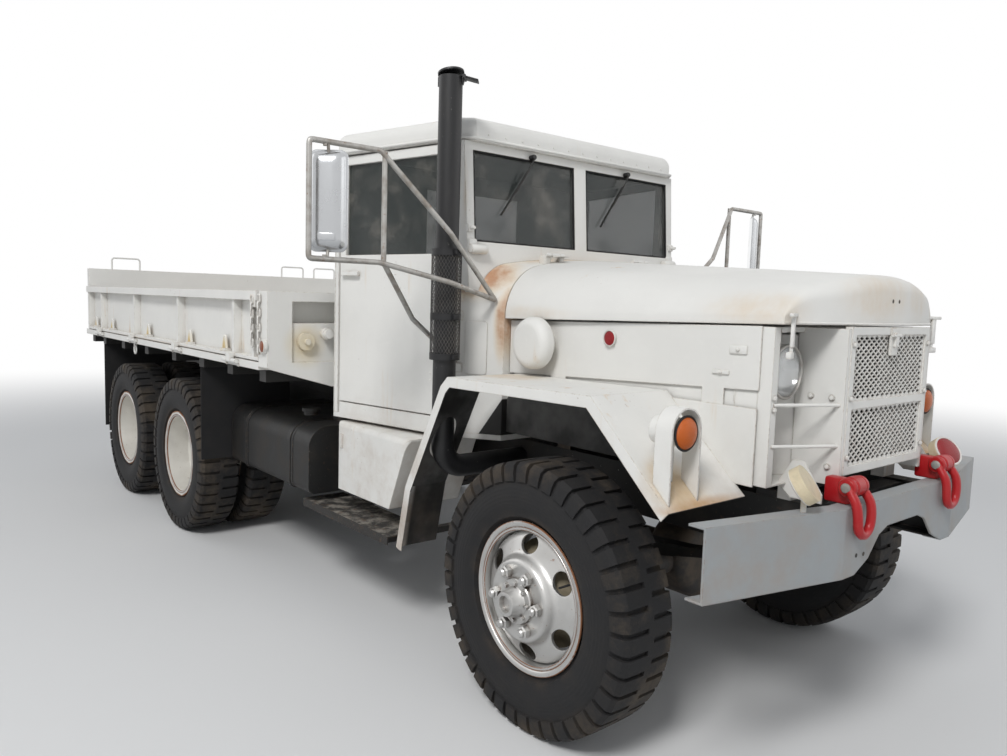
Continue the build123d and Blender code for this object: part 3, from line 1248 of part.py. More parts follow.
def rear_fixed_barrel(y):
    """The part of the tailgate's hinge that is welded to the rear sill."""
    half = BARREL_LENGTH / 2
    x = BED_REAR - HINGE_AXIS_OUT
    body = rod((x, y - half, HINGE_AXIS_Z), (x, y + half, HINGE_AXIS_Z), BARREL_RADIUS)
    return body + block((x, BED_REAR + 2), (y - half, y + half), (HINGE_AXIS_Z - BARREL_RADIUS, HINGE_AXIS_Z))


def headboard():
    """The fixed front wall: posts, rail, recessed sheet, apron, filler cap, pipe stub and chains."""
    x0, x1 = BED_FRONT - HEADBOARD_DEPTH, BED_FRONT
    post = HEADBOARD_POST
    body = block((x0, x1), (-BED_HALF, BED_HALF), (BED_RAIL_LOW, BED_RAIL_TOP))
    for side in (-1, 1):
        y = (side * (BED_HALF - post), side * BED_HALF)
        body += block((x0, x1), (min(y), max(y)), (BED_SILL_LOW + 18, BED_RAIL_LOW))
    inner = BED_HALF - post + 34
    body += block((x0, x0 + SIDE_WALL), (-inner, inner), (BED_FLOOR_TOP - 40, BED_RAIL_LOW))
    # columns: distance from the middle, height of the apron's lower edge
    foot = ((BED_HALF - 11, BED_SILL_LOW + 12), (860, BED_BEARER_LOW - 24))
    apron = [(-y, z) for y, z in foot] + [(y, z) for y, z in reversed(foot)]
    apron += [(foot[0][0], BED_FLOOR_TOP + 4), (-foot[0][0], BED_FLOOR_TOP + 4)]
    body += front_profile(apron, (x1 - 12, x1))
    body += block((x0, x1 - 12), (post - BED_HALF, BED_HALF - post), (BED_SILL_LOW + 22, BOX_TOP))
    (cap_y, cap_z), (pipe_y, pipe_z) = CAP_PLACE, PIPE_PLACE
    body += rod((x1 - 14, cap_y, cap_z), (x1 + 14, cap_y, cap_z), 46)
    body += rod((x1 + 12, cap_y, cap_z), (x1 + 30, cap_y, cap_z), 16)
    body += rod((x1 - 14, pipe_y, pipe_z), (x1 + 52, pipe_y, pipe_z), 26)
    body += rod((x1 + 18, pipe_y, pipe_z), (x1 + 34, pipe_y, pipe_z), 33)
    for side in (-1, 1):
        body += chain(x1 - 86, side * (BED_HALF + LINK_STAND), BED_RAIL_TOP - 14, POST_LINKS)
    return body


def chain(x, y, z, links):
    """A hanging chain, its links in turn flat to the side and aslant, joined where they hook."""
    step = LINK_LENGTH - 2 * LINK_WALL + 1
    ring = SlotOverall(LINK_LENGTH, LINK_WIDTH)
    ring -= SlotOverall(LINK_LENGTH - 2 * LINK_WALL, LINK_WIDTH - 2 * LINK_WALL)
    link = Rot(0, 90, 0) * extrude(ring, amount=LINK_WALL / 2, both=True)
    pieces = []
    for index in range(links):
        turn = 90 if index % 2 == 0 else 45
        pieces.append(Pos(x, y, z - LINK_LENGTH / 2 - index * step) * Rot(0, 0, turn) * link)
    return pieces[0] + pieces[1:]


def bed_side():
    """The right drop side: sheet, rails, tapered ribs and the hinge barrels at its foot."""
    x0, x1 = BED_REAR + TAILGATE_DEPTH + 11, BED_FRONT - HEADBOARD_DEPTH - PANEL_GAP
    low = BED_FLOOR_TOP + PANEL_GAP
    out = -BED_HALF
    sheet_out = out + SIDE_DEPTH - SIDE_WALL
    body = block((x0, x1), (sheet_out, sheet_out + SIDE_WALL), (low, BED_RAIL_TOP))
    body += block((x0, x1), (out - 12, sheet_out), (BED_RAIL_LOW, BED_RAIL_TOP))
    body += block((x0, x1), (out, sheet_out), (low, low + 20))
    ends = (x0 + RIB_LENGTH / 2, x1 - RIB_LENGTH * 2)
    for x in SIDE_RIB_X + ends:
        rib = RIB_LENGTH / 2
        body += block((x - rib, x + rib), (out, sheet_out), (low, BED_RAIL_LOW))
    for x in SIDE_RIB_X:
        half = BARREL_LENGTH / 2
        y = out - HINGE_AXIS_OUT
        body += rod((x - half, y, HINGE_AXIS_Z), (x + half, y, HINGE_AXIS_Z), BARREL_RADIUS)
        body += block((x - half, x + half), (y - BARREL_RADIUS, y + BARREL_RADIUS), (HINGE_AXIS_Z, low + 20))
        body += block((x - half, x + half), (y, out), (low, low + 20))
    for x in HOOK_X:
        body += lashing_hook(x, (out + sheet_out) / 2, low + 20)
    body += block((x1 - 78, x1 - 8), (out - 12, sheet_out), (BED_RAIL_LOW - 34, BED_RAIL_LOW))
    return body + chain(x1 - 40, out - 12 - LINK_WALL / 2, BED_RAIL_TOP - 20, SIDE_LINKS)


def lashing_hook(x, y, z):
    """A forged lashing hook: two legs that rise from a foot and meet at its tip."""
    legs = [(x - HOOK_SPREAD, y, z + 4), (x, y, z + HOOK_HEIGHT), (x + HOOK_SPREAD, y, z + 4)]
    foot = block((x - HOOK_SPREAD - 12, x + HOOK_SPREAD + 12), (y - 18, y + 18), (z - 4, z + 14))
    return bent_rod(legs, HOOK_RADIUS, 10) + foot + rod((x, y, z + 10), (x, y, z + 62), HOOK_RADIUS - 2)


def tailgate():
    """The tall tailgate: sheet, frame, ribs, three grab hoops and the hinge barrels at its foot."""
    half = BED_HALF - 14
    low = BED_FLOOR_TOP + PANEL_GAP
    x_in = BED_REAR + TAILGATE_DEPTH
    body = block((x_in - SIDE_WALL, x_in), (-half, half), (low, TAILGATE_TOP))
    body += block((BED_REAR, x_in), (-half, half), (low, low + 20))
    body += block((BED_REAR, x_in), (-half, half), (TAILGATE_TOP - 50, TAILGATE_TOP))
    for y in (-half + 20, -600.0, 0.0, 600.0, half - 20):
        body += block((BED_REAR, x_in), (y - 20, y + 20), (low, TAILGATE_TOP))
    for y in TAILGATE_HINGE_Y:
        x = BED_REAR - HINGE_AXIS_OUT
        reach = BARREL_LENGTH / 2
        body += rod((x, y - reach, HINGE_AXIS_Z), (x, y + reach, HINGE_AXIS_Z), BARREL_RADIUS)
        span = (y - reach, y + reach)
        body += block((x - BARREL_RADIUS, x + BARREL_RADIUS), span, (HINGE_AXIS_Z, low + 20))
        body += block((x, BED_REAR), span, (low, low + 20))
    middle_x = BED_REAR + TAILGATE_DEPTH / 2
    for y in HOOP_Y:
        low_z, high_z = TAILGATE_TOP - 10, TAILGATE_TOP + HOOP_HEIGHT
        hoop = [(middle_x, y - HOOP_HALF, low_z), (middle_x, y - HOOP_HALF, high_z),
                (middle_x, y + HOOP_HALF, high_z), (middle_x, y + HOOP_HALF, low_z)]
        body += bent_rod(hoop, 7, 24)
    return body


def mudflaps():
    """The black plates before the middle wheels and behind the rear wheels, as wide as the twin tyres."""
    pieces = []
    reach = DUAL_SPACING / 2 + TYRE_WIDTH / 2
    for x, low in zip(FLAP_X, FLAP_LOW):
        for side in (-1, 1):
            y = (side * (DUAL_Y - reach + 2), side * (DUAL_Y + reach + 5))
            sheet = (x - FLAP_WALL / 2, x + FLAP_WALL / 2)
            pieces.append(block(sheet, (min(y), max(y)), (low, BED_BEARER_LOW)))
    return pieces


def pintle():
    """The towing pintle on the rear crossmember."""
    z = PINTLE_Z
    start = RAIL_REAR
    body = block((start - 24, start), (-90, 90), (z - 60, z + 60))
    body += rod((start - 24, 0, z), (start - 140, 0, z), 42)
    x = PINTLE_REAR + PINTLE_RADIUS
    hook = rod((x, -22, z), (x, 22, z), PINTLE_RADIUS) - rod((x, -30, z), (x, 30, z), PINTLE_HOLE_RADIUS)
    return body + hook + block((x + 45, start - 100), (-22, 22), (z - 30, z + 30))


def bumperettes():
    """The two short rear bumpers on the rail ends."""
    pieces = []
    face = RAIL_REAR - 120
    for side in (-1, 1):
        y = (side * (RAIL_Y - 110), side * (RAIL_Y + 170))
        body = block((face, face + 12), (min(y), max(y)), (RAIL_BOTTOM - 10, RAIL_TOP))
        y = (side * (RAIL_Y - RAIL_FLANGE), side * RAIL_Y)
        body += block((face + 12, RAIL_REAR), (min(y), max(y)), (RAIL_BOTTOM + 20, RAIL_TOP - 20))
        pieces.append(body)
    return pieces


def tail_lamps():
    """The lamp clusters under the rear sill."""
    pieces = []
    for side in (-1, 1):
        y = (side * 860, side * 1040)
        pieces.append(block((BED_REAR + 20, BED_REAR + 40), (min(y), max(y)), (1040, BED_SILL_LOW + 22)))
        pieces[-1] += block((BED_REAR - 20, BED_REAR + 20), (min(y), max(y)), (1050, 1130))
    return pieces


def side_lamps():
    """The red reflector on each hood side panel and the round lamp on each post of the headboard."""
    pieces = []
    x, z = REFLECTOR_PLACE
    lamp_x = BED_FRONT - 30
    for side in (-1, 1):
        face = side * (HOOD_FRONT_HALF + SIDE_PANEL_WALL)
        pieces.append(rod((x, face, z), (x, face + side * 9, z), REFLECTOR_RADIUS))
        face = side * BED_HALF
        pieces.append(rod((lamp_x, face, SIDE_LAMP_Z), (lamp_x, face + side * 14, SIDE_LAMP_Z), 38))
    return pieces


def marker_lamp(x, y, turn):
    """A round marker lamp on a stub over the bumper."""
    z = MARKER_Z
    lamp = Pos(x, y, z) * Rot(0, 0, turn) * Rot(0, 55, 0) * Cylinder(62, 34)
    return lamp + rod((x, y, BUMPER_TOP), (x, y, z), 9)


def main():
    write("frame_rails", frame_rail(), mirrored(frame_rail()))
    write("frame_crossmembers", *crossmembers())
    write("front_bumper", bumper())
    write("tow_shackles", shackle(-SHACKLE_Y), shackle(SHACKLE_Y))
    write("front_axle", front_axle())
    write("leaf_springs", front_spring(), mirrored(front_spring()), *rear_springs())
    write("bogie_axles", rear_axle(MIDDLE_X), rear_axle(REAR_X))
    pattern = tyre()
    for name, side in (("left", 1), ("right", -1)):
        write(f"knuckle_{name}", knuckle(side))
        write(f"front_tyre_{name}", tyre_at(pattern, 0, side * FRONT_TYRE_Y))
        front_wheel = wheel(0, side * FRONT_TYRE_Y, side * FRONT_DISC_Y)
        write(f"front_wheel_{name}", front_wheel, front_hub(side))
        for place, x in (("middle", MIDDLE_X), ("rear", REAR_X)):
            inner, outer = DUAL_Y - DUAL_SPACING / 2, DUAL_Y + DUAL_SPACING / 2
            write(f"{place}_tyres_{name}", *(tyre_at(pattern, x, side * y) for y in (inner, outer)))
            inner_wheel = wheel(x, inner, DUAL_Y)
            outer_wheel = wheel(x, outer, DUAL_Y)
            hub = dual_hub(x)
            group = [inner_wheel, outer_wheel, hub]
            write(f"{place}_wheels_{name}", *(group if side > 0 else [mirrored(piece) for piece in group]))
    write("tie_rod", tie_rod())
    write("engine", engine())
    write("driveline", driveline())
    write("radiator", radiator())
    write("hood", hood())
    write("hood_side_panels", side_panel() + intake_dome(), mirrored(side_panel()))
    write_pair("fender", fender())
    write("grille", grille())
    write("nose_frame", nose_frame())
    write("headlights", headlight(-HEADLIGHT_Y), headlight(HEADLIGHT_Y))
    markers = [marker_lamp(842, -575, 20), marker_lamp(850, 460, -20), *side_lamps()]
    write("signal_lamps", turn_signal(), mirrored(turn_signal()), *markers, *tail_lamps())
    write("cowl", cowl())
    write("cab_floor", cab_floor())
    write("cab_back", cab_back())
    write("windshield_frame", windshield_frame())
    write("cab_glass", *cab_glass())
    write("cab_roof", roof())
    panel, glass = door()
    write_pair("door", panel)
    write_pair("door_glass", glass)
    write("seat_boxes", *seats())
    write("seat_cushions", *seat_cushions())
    write("steering_wheel", steering_wheel())
    write("exhaust_stack", exhaust_stack())
    write("mirrors", mirror_unit(), mirrored(mirror_unit()))
    write("fuel_tank", fuel_tank())
    write("battery_box", battery_box())
    write("running_boards", running_board(), mirrored(running_board()))
    write("air_tanks", *air_tanks())
    write("bed_floor", bed_floor())
    write("headboard", headboard())
    write_pair("bed_side", bed_side())
    write("tailgate", tailgate())
    write("mudflaps", *mudflaps())
    write("rear_fittings", pintle(), *bumperettes())


main()
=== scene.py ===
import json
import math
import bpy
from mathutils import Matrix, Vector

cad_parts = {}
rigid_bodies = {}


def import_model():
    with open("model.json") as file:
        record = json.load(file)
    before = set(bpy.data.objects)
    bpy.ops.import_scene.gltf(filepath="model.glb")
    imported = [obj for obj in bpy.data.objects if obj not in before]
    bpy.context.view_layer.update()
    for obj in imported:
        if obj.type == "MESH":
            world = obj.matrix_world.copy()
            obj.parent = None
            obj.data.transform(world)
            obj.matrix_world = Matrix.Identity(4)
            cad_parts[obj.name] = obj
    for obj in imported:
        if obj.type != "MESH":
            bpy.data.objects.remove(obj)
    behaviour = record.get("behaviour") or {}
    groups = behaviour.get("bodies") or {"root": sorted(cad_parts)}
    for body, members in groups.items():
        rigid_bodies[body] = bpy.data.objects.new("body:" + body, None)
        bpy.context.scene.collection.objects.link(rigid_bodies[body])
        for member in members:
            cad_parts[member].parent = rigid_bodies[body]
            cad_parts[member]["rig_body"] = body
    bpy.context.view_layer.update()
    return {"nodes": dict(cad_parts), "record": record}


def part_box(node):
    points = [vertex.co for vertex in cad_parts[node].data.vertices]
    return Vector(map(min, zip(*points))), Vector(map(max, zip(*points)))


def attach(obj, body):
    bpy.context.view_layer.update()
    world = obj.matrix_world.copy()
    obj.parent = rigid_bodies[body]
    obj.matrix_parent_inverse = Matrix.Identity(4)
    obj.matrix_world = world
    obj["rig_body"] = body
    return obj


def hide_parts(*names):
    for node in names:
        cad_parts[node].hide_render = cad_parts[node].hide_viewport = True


bl_info = {
    "name": "Military cargo truck",
    "version": (1, 0, 0),
    "blender": (4, 5, 0),
    "location": "View3D > Sidebar > Truck",
    "description": "Finishes and fine parts of a weathered six-wheel cargo truck",
    "category": "Object",
}

from contextlib import contextmanager

import bmesh
import bpy
from bpy.props import FloatProperty, FloatVectorProperty, IntProperty, PointerProperty
from bpy.types import Operator, Panel, PropertyGroup
from mathutils import Matrix, Vector

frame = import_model()
NODES = frame["nodes"]
SIDES = (("left", 1), ("right", -1))


def middle(node):
    """The middle of a CAD node's box."""
    low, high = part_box(node)
    return (low + high) / 2


def extent(node):
    """The width of a CAD node's box along each axis."""
    low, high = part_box(node)
    return high - low


# Places read from the frame
AXLE = middle("front_tyre_right")
TYRE_RADIUS = AXLE.z
TYRE_WIDTH = extent("front_tyre_right").y
RIM_RADIUS = extent("front_wheel_right").z / 2
BED_FRONT = AXLE.x - 1.720

WHITE = "weathered_white_paint"
NOWHERE = ((0, 0, 0), (0, 0, 1))


def paint_property(name, description, value):
    return FloatVectorProperty(name=name, description=description, subtype="COLOR", default=value)


class TruckSizes(PropertyGroup):
    """Sizes of the fine parts."""

    lug_count: IntProperty(name="Lugs", description="Lugs round each shoulder of a tyre", default=42, min=12)
    lug_height: FloatProperty(
        name="Lug height", description="Depth of the tread", default=0.016, unit="LENGTH"
    )


class TruckColours(PropertyGroup):
    """Colours of the finishes."""

    white: paint_property("White paint", "The cab's old white paint", (0.80, 0.79, 0.755))
    grey: paint_property("Grey paint", "The bumper's grey paint", (0.34, 0.36, 0.37))
    red: paint_property("Red paint", "The tow shackles' red paint", (0.42, 0.007, 0.012))
    rust: paint_property("Rust", "Rust and clay stains", (0.42, 0.17, 0.06))
    dust: paint_property("Dust", "Dry road dust", (0.36, 0.25, 0.16))


class Value:
    """A shader socket that can be used in plain arithmetic."""

    def __init__(self, shade, socket):
        self.shade = shade
        self.socket = socket

    def math(self, operation, *values):
        return self.shade.node("ShaderNodeMath", {"operation": operation}, *values)

    def __add__(self, other):
        return self.math("ADD", self, other)

    def __radd__(self, other):
        return self.math("ADD", other, self)

    def __sub__(self, other):
        return self.math("SUBTRACT", self, other)

    def __rsub__(self, other):
        return self.math("SUBTRACT", other, self)

    def __mul__(self, other):
        return self.math("MULTIPLY", self, other)

    def __or__(self, other):
        return self.math("MAXIMUM", self, other)

    def __and__(self, other):
        return self.math("MINIMUM", self, other)

    def sine(self):
        return self.math("SINE", self)

    def size(self):
        return self.math("ABSOLUTE", self)

    def rise(self, low, high):
        """From 0 below low to 1 above high, smoothly."""
        settings = {"interpolation_type": "SMOOTHSTEP"}
        return self.shade.node("ShaderNodeMapRange", settings, self, low, high, 0.0, 1.0)

    def fall(self, low, high):
        """From 1 below low to 0 above high, smoothly."""
        return 1.0 - self.rise(low, high)


class Shade:
    """One material's nodes: expressions on values, and one method for any other node."""

    def __init__(self, name):
        self.material = bpy.data.materials.new(name)
        self.material.use_nodes = True
        self.start(self.material.node_tree, "ShaderNodeOutputMaterial")
        self.shader = self.tree.nodes.new("ShaderNodeBsdfPrincipled")
        self.tree.links.new(self.shader.outputs[0], self.output.inputs["Surface"])
        self.place = self.node("ShaderNodeTexCoord", {}, output="Object")
        self.rounded = None

    @classmethod
    def of_tree(cls, tree, output):
        """The same helper for a tree that isn't a material's, such as the world's."""
        shade = cls.__new__(cls)
        shade.start(tree, output)
        return shade

    def start(self, tree, output):
        self.tree = tree
        tree.nodes.clear()
        self.output = tree.nodes.new(output)

    def node(self, kind, settings, *inputs, output=0, **named):
        """A node of any kind: its settings first, then the values or links of its sockets."""
        made = self.tree.nodes.new(kind)
        for key, value in settings.items():
            setattr(made, key, value)
        for key, value in [*enumerate(inputs), *named.items()]:
            self.feed(made.inputs[key], value)
        return Value(self, made.outputs[output])

    def feed(self, socket, value):
        """Links a value to a socket, or sets the socket to a number or a colour."""
        if isinstance(value, Value):
            self.tree.links.new(value.socket, socket)
        elif value is not None:
            opaque = socket.type == "RGBA" and len(value) == 3
            socket.default_value = (*value, 1.0) if opaque else value

    def set(self, **sockets):
        """Sets the shader's own sockets, their names written with underscores."""
        for name, value in sockets.items():
            self.feed(self.shader.inputs[name.replace("_", " ")], value)

    def split(self, vector, index):
        """The x, y or z of a vector."""
        return self.node("ShaderNodeSeparateXYZ", {}, vector, output=index)

    def axis(self, index):
        """The object's x, y or z in metres."""
        return self.split(self.place, index)

    def vector(self, operation, *values, output=0):
        return self.node("ShaderNodeVectorMath", {"operation": operation}, *values, output=output)

    def noise(self, scale, detail=4.0, rough=0.55, at=None):
        """Cloudy noise from 0 to 1, at the object's place or another."""
        inputs = {"Vector": at or self.place, "Scale": scale, "Detail": detail, "Roughness": rough}
        return self.node("ShaderNodeTexNoise", {}, **inputs)

    def mix(self, share, first, second):
        """A colour between two colours, which are the mix node's inputs 6 and 7."""
        skipped = (None,) * 5
        return self.node("ShaderNodeMix", {"data_type": "RGBA"}, share, *skipped, first, second, output=2)

    def near(self, point, reach):
        """1 at a point, 0 a reach away from it; reach is one length or three."""
        reach = tuple(reach) if hasattr(reach, "__len__") else (reach,) * 3
        scaled = self.vector("DIVIDE", self.vector("SUBTRACT", self.place, tuple(point)), reach)
        return self.vector("LENGTH", scaled, output="Value").fall(0.2, 1.0)

    def flat(self):
        """The surface's own direction, before any bump."""
        return self.node("ShaderNodeNewGeometry", {}, output="Normal")

    def facing(self, index):
        """The surface's own direction along x, y or z."""
        return self.split(self.flat(), index)

    def worn_edges(self, width):
        """1 on sharp edges, from how far a rounded normal turns from the flat one."""
        self.rounded = self.node("ShaderNodeBevel", {"samples": 4}, width)
        turn = self.vector("DOT_PRODUCT", self.rounded, self.flat(), output="Value")
        return (1.0 - turn).rise(0.02, 0.22)

    def crevice(self, reach):
        """1 in corners and under lips, from ambient occlusion: a mask for painted shade and grime there."""
        light = self.node("ShaderNodeAmbientOcclusion", {"samples": 6}, Distance=reach, output="AO")
        return (1.0 - light).rise(0.25, 0.9)

    def wheel_radius(self):
        """The distance from the nearest axle, from the piece's own attribute."""
        return self.node("ShaderNodeAttribute", {"attribute_name": "radius"}, output="Fac")

    def bump(self, height, distance, strength):
        """Dents the surface by a height pattern, over the rounded edges if there are any."""
        inputs = {"Strength": strength, "Distance": distance, "Height": height, "Normal": self.rounded}
        self.set(Normal=self.node("ShaderNodeBump", {}, output="Normal", **inputs))


FINISHES = {}


def finish(function):
    """Keeps each finish, so that it is built once."""

    def once(*values):
        key = (function.__name__, *values)
        if key not in FINISHES:
            FINISHES[key] = function(*values)
        return FINISHES[key]

    return once


def colours():
    return bpy.context.scene.truck_colours


def old_paint(name, stain, dust, chips, spots=(), gloss=0.0, tints=(), dark=None, paint="white"):
    """Old paint: chalky patches, streaks of rust, dust low down, chipped edges, corners darkened by painted
    shade and grime, and near black under a given mask of painted shade.
    """
    shade = Shade(name)
    colour = tuple(getattr(colours(), paint))
    rust, soil = tuple(colours().rust), tuple(colours().dust)
    chalk = shade.noise(3.0, 6.0, 0.6)
    fine = shade.noise(26.0, 4.0, 0.6)
    base = shade.mix(chalk.rise(0.35, 0.7) * 0.6, colour, tuple(0.93 * c for c in colour))
    base = shade.mix(fine.rise(0.55, 0.8) * 0.35, base, tuple(min(1.0, 1.06 * c) for c in colour))
    streaks = shade.noise(1.0, 5.0, 0.6, at=shade.vector("MULTIPLY", shade.place, (16.0, 16.0, 1.3)))
    cloud = shade.noise(1.7, 3.0, 0.5)
    marks = streaks.rise(0.56, 0.74) * cloud.rise(0.45, 0.68)
    for point, reach, amount in spots:
        marks = marks | (shade.near(point, reach) * amount * (fine * 0.8 + streaks))
    cream = tuple(0.5 * a + 0.5 * b for a, b in zip(colour, (0.62, 0.43, 0.22)))
    base = shade.mix((marks * stain).rise(0.0, 0.55), base, cream)
    base = shade.mix((marks * stain).rise(0.35, 1.0) * 0.8, base, rust)
    for point, reach, tint, amount in tints:
        base = shade.mix(shade.near(point, reach) * (fine * 0.7 + 0.5) * amount, base, tint)
    low = shade.axis(2).fall(0.75, 1.25)
    powder = shade.noise(7.0, 6.0, 0.65).rise(0.35, 0.75)
    base = shade.mix(low * powder * dust, base, soil)
    worn = shade.worn_edges(0.006)
    rub = shade.noise(40.0, 5.0, 0.7)
    base = shade.mix(worn * rub.rise(0.30, 0.55) * stain * 0.8, base, cream)
    # Corners and lips darker: painted shade from ambient occlusion, mixed with grime.
    base = shade.mix(shade.crevice(0.07) * (0.35 + powder * 0.4) * stain, base, tuple(0.45 * c for c in soil))
    pits = shade.noise(75.0, 2.0, 0.5).rise(0.70, 0.74) * cloud.rise(0.5, 0.7)
    bare = (worn * rub.rise(0.50, 0.62) | pits) * chips
    base = shade.mix(bare, base, tuple(0.45 * c for c in rust))
    # Near black where the given mask is 1: painted shade behind the fender and under the bed, and in the
    # fender arch its dark undercoat too.
    if dark:
        base = shade.mix(dark(shade), base, (0.016, 0.015, 0.014))
    shade.set(Base_Color=base, Roughness=0.42 - gloss + chalk * 0.3 + bare * 0.2, Specular_IOR_Level=0.4)
    dents = shade.noise(2.2, 2.0, 0.5) * 0.6 + fine * 0.03
    shade.bump(dents - bare * 0.02, 0.006, 0.6)
    return shade.material


@finish
def white_paint():
    return old_paint("old_white_paint", 0.55, 0.35, 0.5)


@finish
def grey_paint():
    return old_paint("bumper_grey_paint", 0.25, 0.35, 0.5, paint="grey")


@finish
def red_paint():
    return old_paint("shackle_red_paint", 0.12, 0.1, 0.6, gloss=0.22, paint="red")


# The fender's top line, run by run: x before the front axle, height, slope
FENDER_RUNS = ((-0.834, 0.752, 1.882), (-0.580, 1.230, 0.933), (-0.535, 1.272, 0.016), (0.275, 1.285, -0.925))


def under_fender(shade):
    """1 below the fender's top line, 0 above it: a mask for painted shade behind the fender."""
    x = shade.axis(0) - AXLE.x
    line, *others = [height + (x - start) * slope for start, height, slope in FENDER_RUNS]
    for run in others:
        line = line & run
    return (line - shade.axis(2)).rise(0.002, 0.008)


@finish
def cowl_paint():
    """The cowl's paint, sun-baked and stained orange above the side panels, and near black below the fender's
    top line: painted shade behind the fender.
    """
    low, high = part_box("cowl")
    front = (low.x + high.x) / 2
    spots = [
        ((front, -0.62, 1.70), (0.30, 0.34, 0.16), 1.2),
        ((front - 0.10, -0.66, 1.58), (0.16, 0.22, 0.12), 0.8),
        ((high.x - 0.02, -0.60, 1.50), (0.05, 0.2, 0.26), 1.0),
        ((front, 0.64, 1.70), (0.3, 0.3, 0.16), 1.0),
        ((front, 0.0, 1.78), (0.3, 0.9, 0.06), 0.8),
    ]
    return old_paint("stained_white_paint", 0.85, 0.35, 0.6, spots, dark=under_fender)


@finish
def hood_paint():
    """The hood's paint, with faint brown streaks over the grille and by the catches."""
    low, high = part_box("hood")
    spots = [
        ((high.x - 0.02, -0.10, low.z + 0.13), (0.12, 0.34, 0.14), 0.55),
        ((high.x - 0.02, 0.22, low.z + 0.13), (0.12, 0.2, 0.12), 0.45),
        ((high.x - 0.18, -0.55, low.z + 0.08), (0.36, 0.18, 0.12), 0.5),
        ((high.x - 0.18, 0.55, low.z + 0.08), (0.36, 0.18, 0.12), 0.4),
        ((low.x + 0.15, -0.58, low.z + 0.03), (0.4, 0.1, 0.05), 0.4),
    ]
    return old_paint("hood_white_paint", 0.6, 0.3, 0.45, spots)


@finish
def fender_paint():
    """White outside, with peeled cream paint round the lamps; near black within the wheel arch and on faces
    turned downwards: dark undercoat with painted shade.
    """
    spots, tints = [], []
    for side in (-1, 1):
        spots += [
            ((AXLE.x + 0.58, side * 0.87, 1.04), (0.16, 0.14, 0.16), 0.9),
            ((AXLE.x - 0.45, side * 0.7, 1.28), (0.3, 0.2, 0.05), 0.6),
        ]
        tints += [
            ((AXLE.x + 0.60, side * 0.84, 1.06), (0.17, 0.19, 0.17), (0.66, 0.50, 0.30), 0.9),
            ((AXLE.x + 0.62, side * 0.80, 0.965), (0.10, 0.30, 0.03), (0.50, 0.29, 0.13), 0.9),
            ((AXLE.x - 0.86, side * 0.80, 0.58), (0.12, 0.30, 0.22), (0.22, 0.13, 0.07), 0.9),
        ]

    # Faces turned downwards and the arch's inner walls: dark undercoat and painted shade.
    def inside(shade):
        below = shade.facing("Z").fall(-0.4, -0.1)
        rear = shade.facing("X").rise(0.3, 0.5) * shade.axis(0).fall(AXLE.x - 0.2, AXLE.x - 0.1)
        wall = (shade.axis(1) * shade.facing("Y")).rise(0.15, 0.35) | rear
        within = shade.axis(1).size().fall(0.90, 0.93) * under_fender(shade)
        return (below | wall * within) * (0.86 + shade.noise(5.0).rise(0.3, 0.7) * 0.14)

    return old_paint("fender_white_paint", 0.7, 0.5, 0.6, spots, tints=tints, dark=inside)


# The lashing hooks' places, as shares of the bed's length from its front
HOOK_SHARES = (0.165, 0.318, 0.545, 0.797, 0.93)


@finish
def bed_paint():
    """The bed's paint: primer yellow on the lashing hooks and by the filler, rust along the side's foot."""
    low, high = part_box("bed_floor")
    primer = (0.70, 0.52, 0.20)
    foot = (BED_FRONT + low.x) / 2
    tints = []
    for side in (-1, 1):
        for share in HOOK_SHARES:
            x = BED_FRONT + share * (low.x - BED_FRONT)
            tints.append(((x, side * 1.197, high.z + 0.045), (0.055, 0.028, 0.085), primer, 0.85))
        tints += [
            ((foot, side * 1.20, high.z + 0.004), (2.2, 0.03, 0.022), (0.52, 0.34, 0.17), 1.0),
            ((BED_FRONT, side * 1.01, 1.33), (0.06, 0.15, 0.15), (0.66, 0.52, 0.26), 0.7),
        ]
    return old_paint("bed_white_paint", 0.75, 0.3, 0.6, tints=tints)


@finish
def bed_floor_paint():
    """The bed floor: white sill and worn boards above, near black on the bearers below the sill: painted
    shade under the bed.
    """
    low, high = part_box("bed_floor")
    sill = high.z - 0.040

    # Near black below the sill: painted shade under the bed.
    def under(shade):
        return shade.axis(2).fall(sill - 0.003, sill + 0.001)

    tints = [((low.x + 2.0, 0.0, high.z), (4.2, 1.25, 0.02), (0.46, 0.30, 0.18), 0.55)]
    return old_paint("bed_floor_paint", 0.75, 0.3, 0.6, tints=tints, dark=under)


@finish
def black_paint():
    """Black frame paint under a coat of dry dust."""
    shade = Shade("dusty_black_paint")
    powder = shade.noise(5.0, 7.0, 0.65)
    flakes = shade.noise(38.0, 4.0, 0.65)
    base = shade.mix(powder.rise(0.45, 0.8) * 0.30, (0.010, 0.010, 0.010), (0.085, 0.062, 0.042))
    base = shade.mix(flakes.rise(0.62, 0.72) * 0.35, base, (0.10, 0.06, 0.035))
    base = shade.mix(shade.noise(130.0, 2.0).rise(0.74, 0.77) * 0.7, base, (0.45, 0.42, 0.38))
    edges = shade.worn_edges(0.005) * flakes.rise(0.45, 0.6)
    base = shade.mix(edges * 0.6, base, (0.13, 0.09, 0.06))
    shade.set(Base_Color=base, Roughness=0.36 + powder * 0.35, Specular_IOR_Level=0.4)
    shade.bump(flakes * 0.4 + powder, 0.002, 0.5)
    return shade.material


@finish
def stack_paint():
    """Heat-proof black on the exhaust, spotted with flakes and streaked by rain."""
    shade = Shade("black_stack_paint")
    cloud = shade.noise(6.0, 6.0, 0.6, at=shade.vector("MULTIPLY", shade.place, (3.0, 3.0, 0.6)))
    flakes = shade.noise(85.0, 3.0, 0.6)
    base = shade.mix(cloud.rise(0.5, 0.8) * 0.3, (0.008, 0.008, 0.009), (0.05, 0.045, 0.042))
    base = shade.mix(flakes.rise(0.70, 0.74) * 0.6, base, (0.25, 0.24, 0.22))
    shade.set(Base_Color=base, Roughness=0.34 + cloud * 0.25, Specular_IOR_Level=0.45)
    shade.bump(cloud + flakes * 0.3, 0.001, 0.4)
    return shade.material


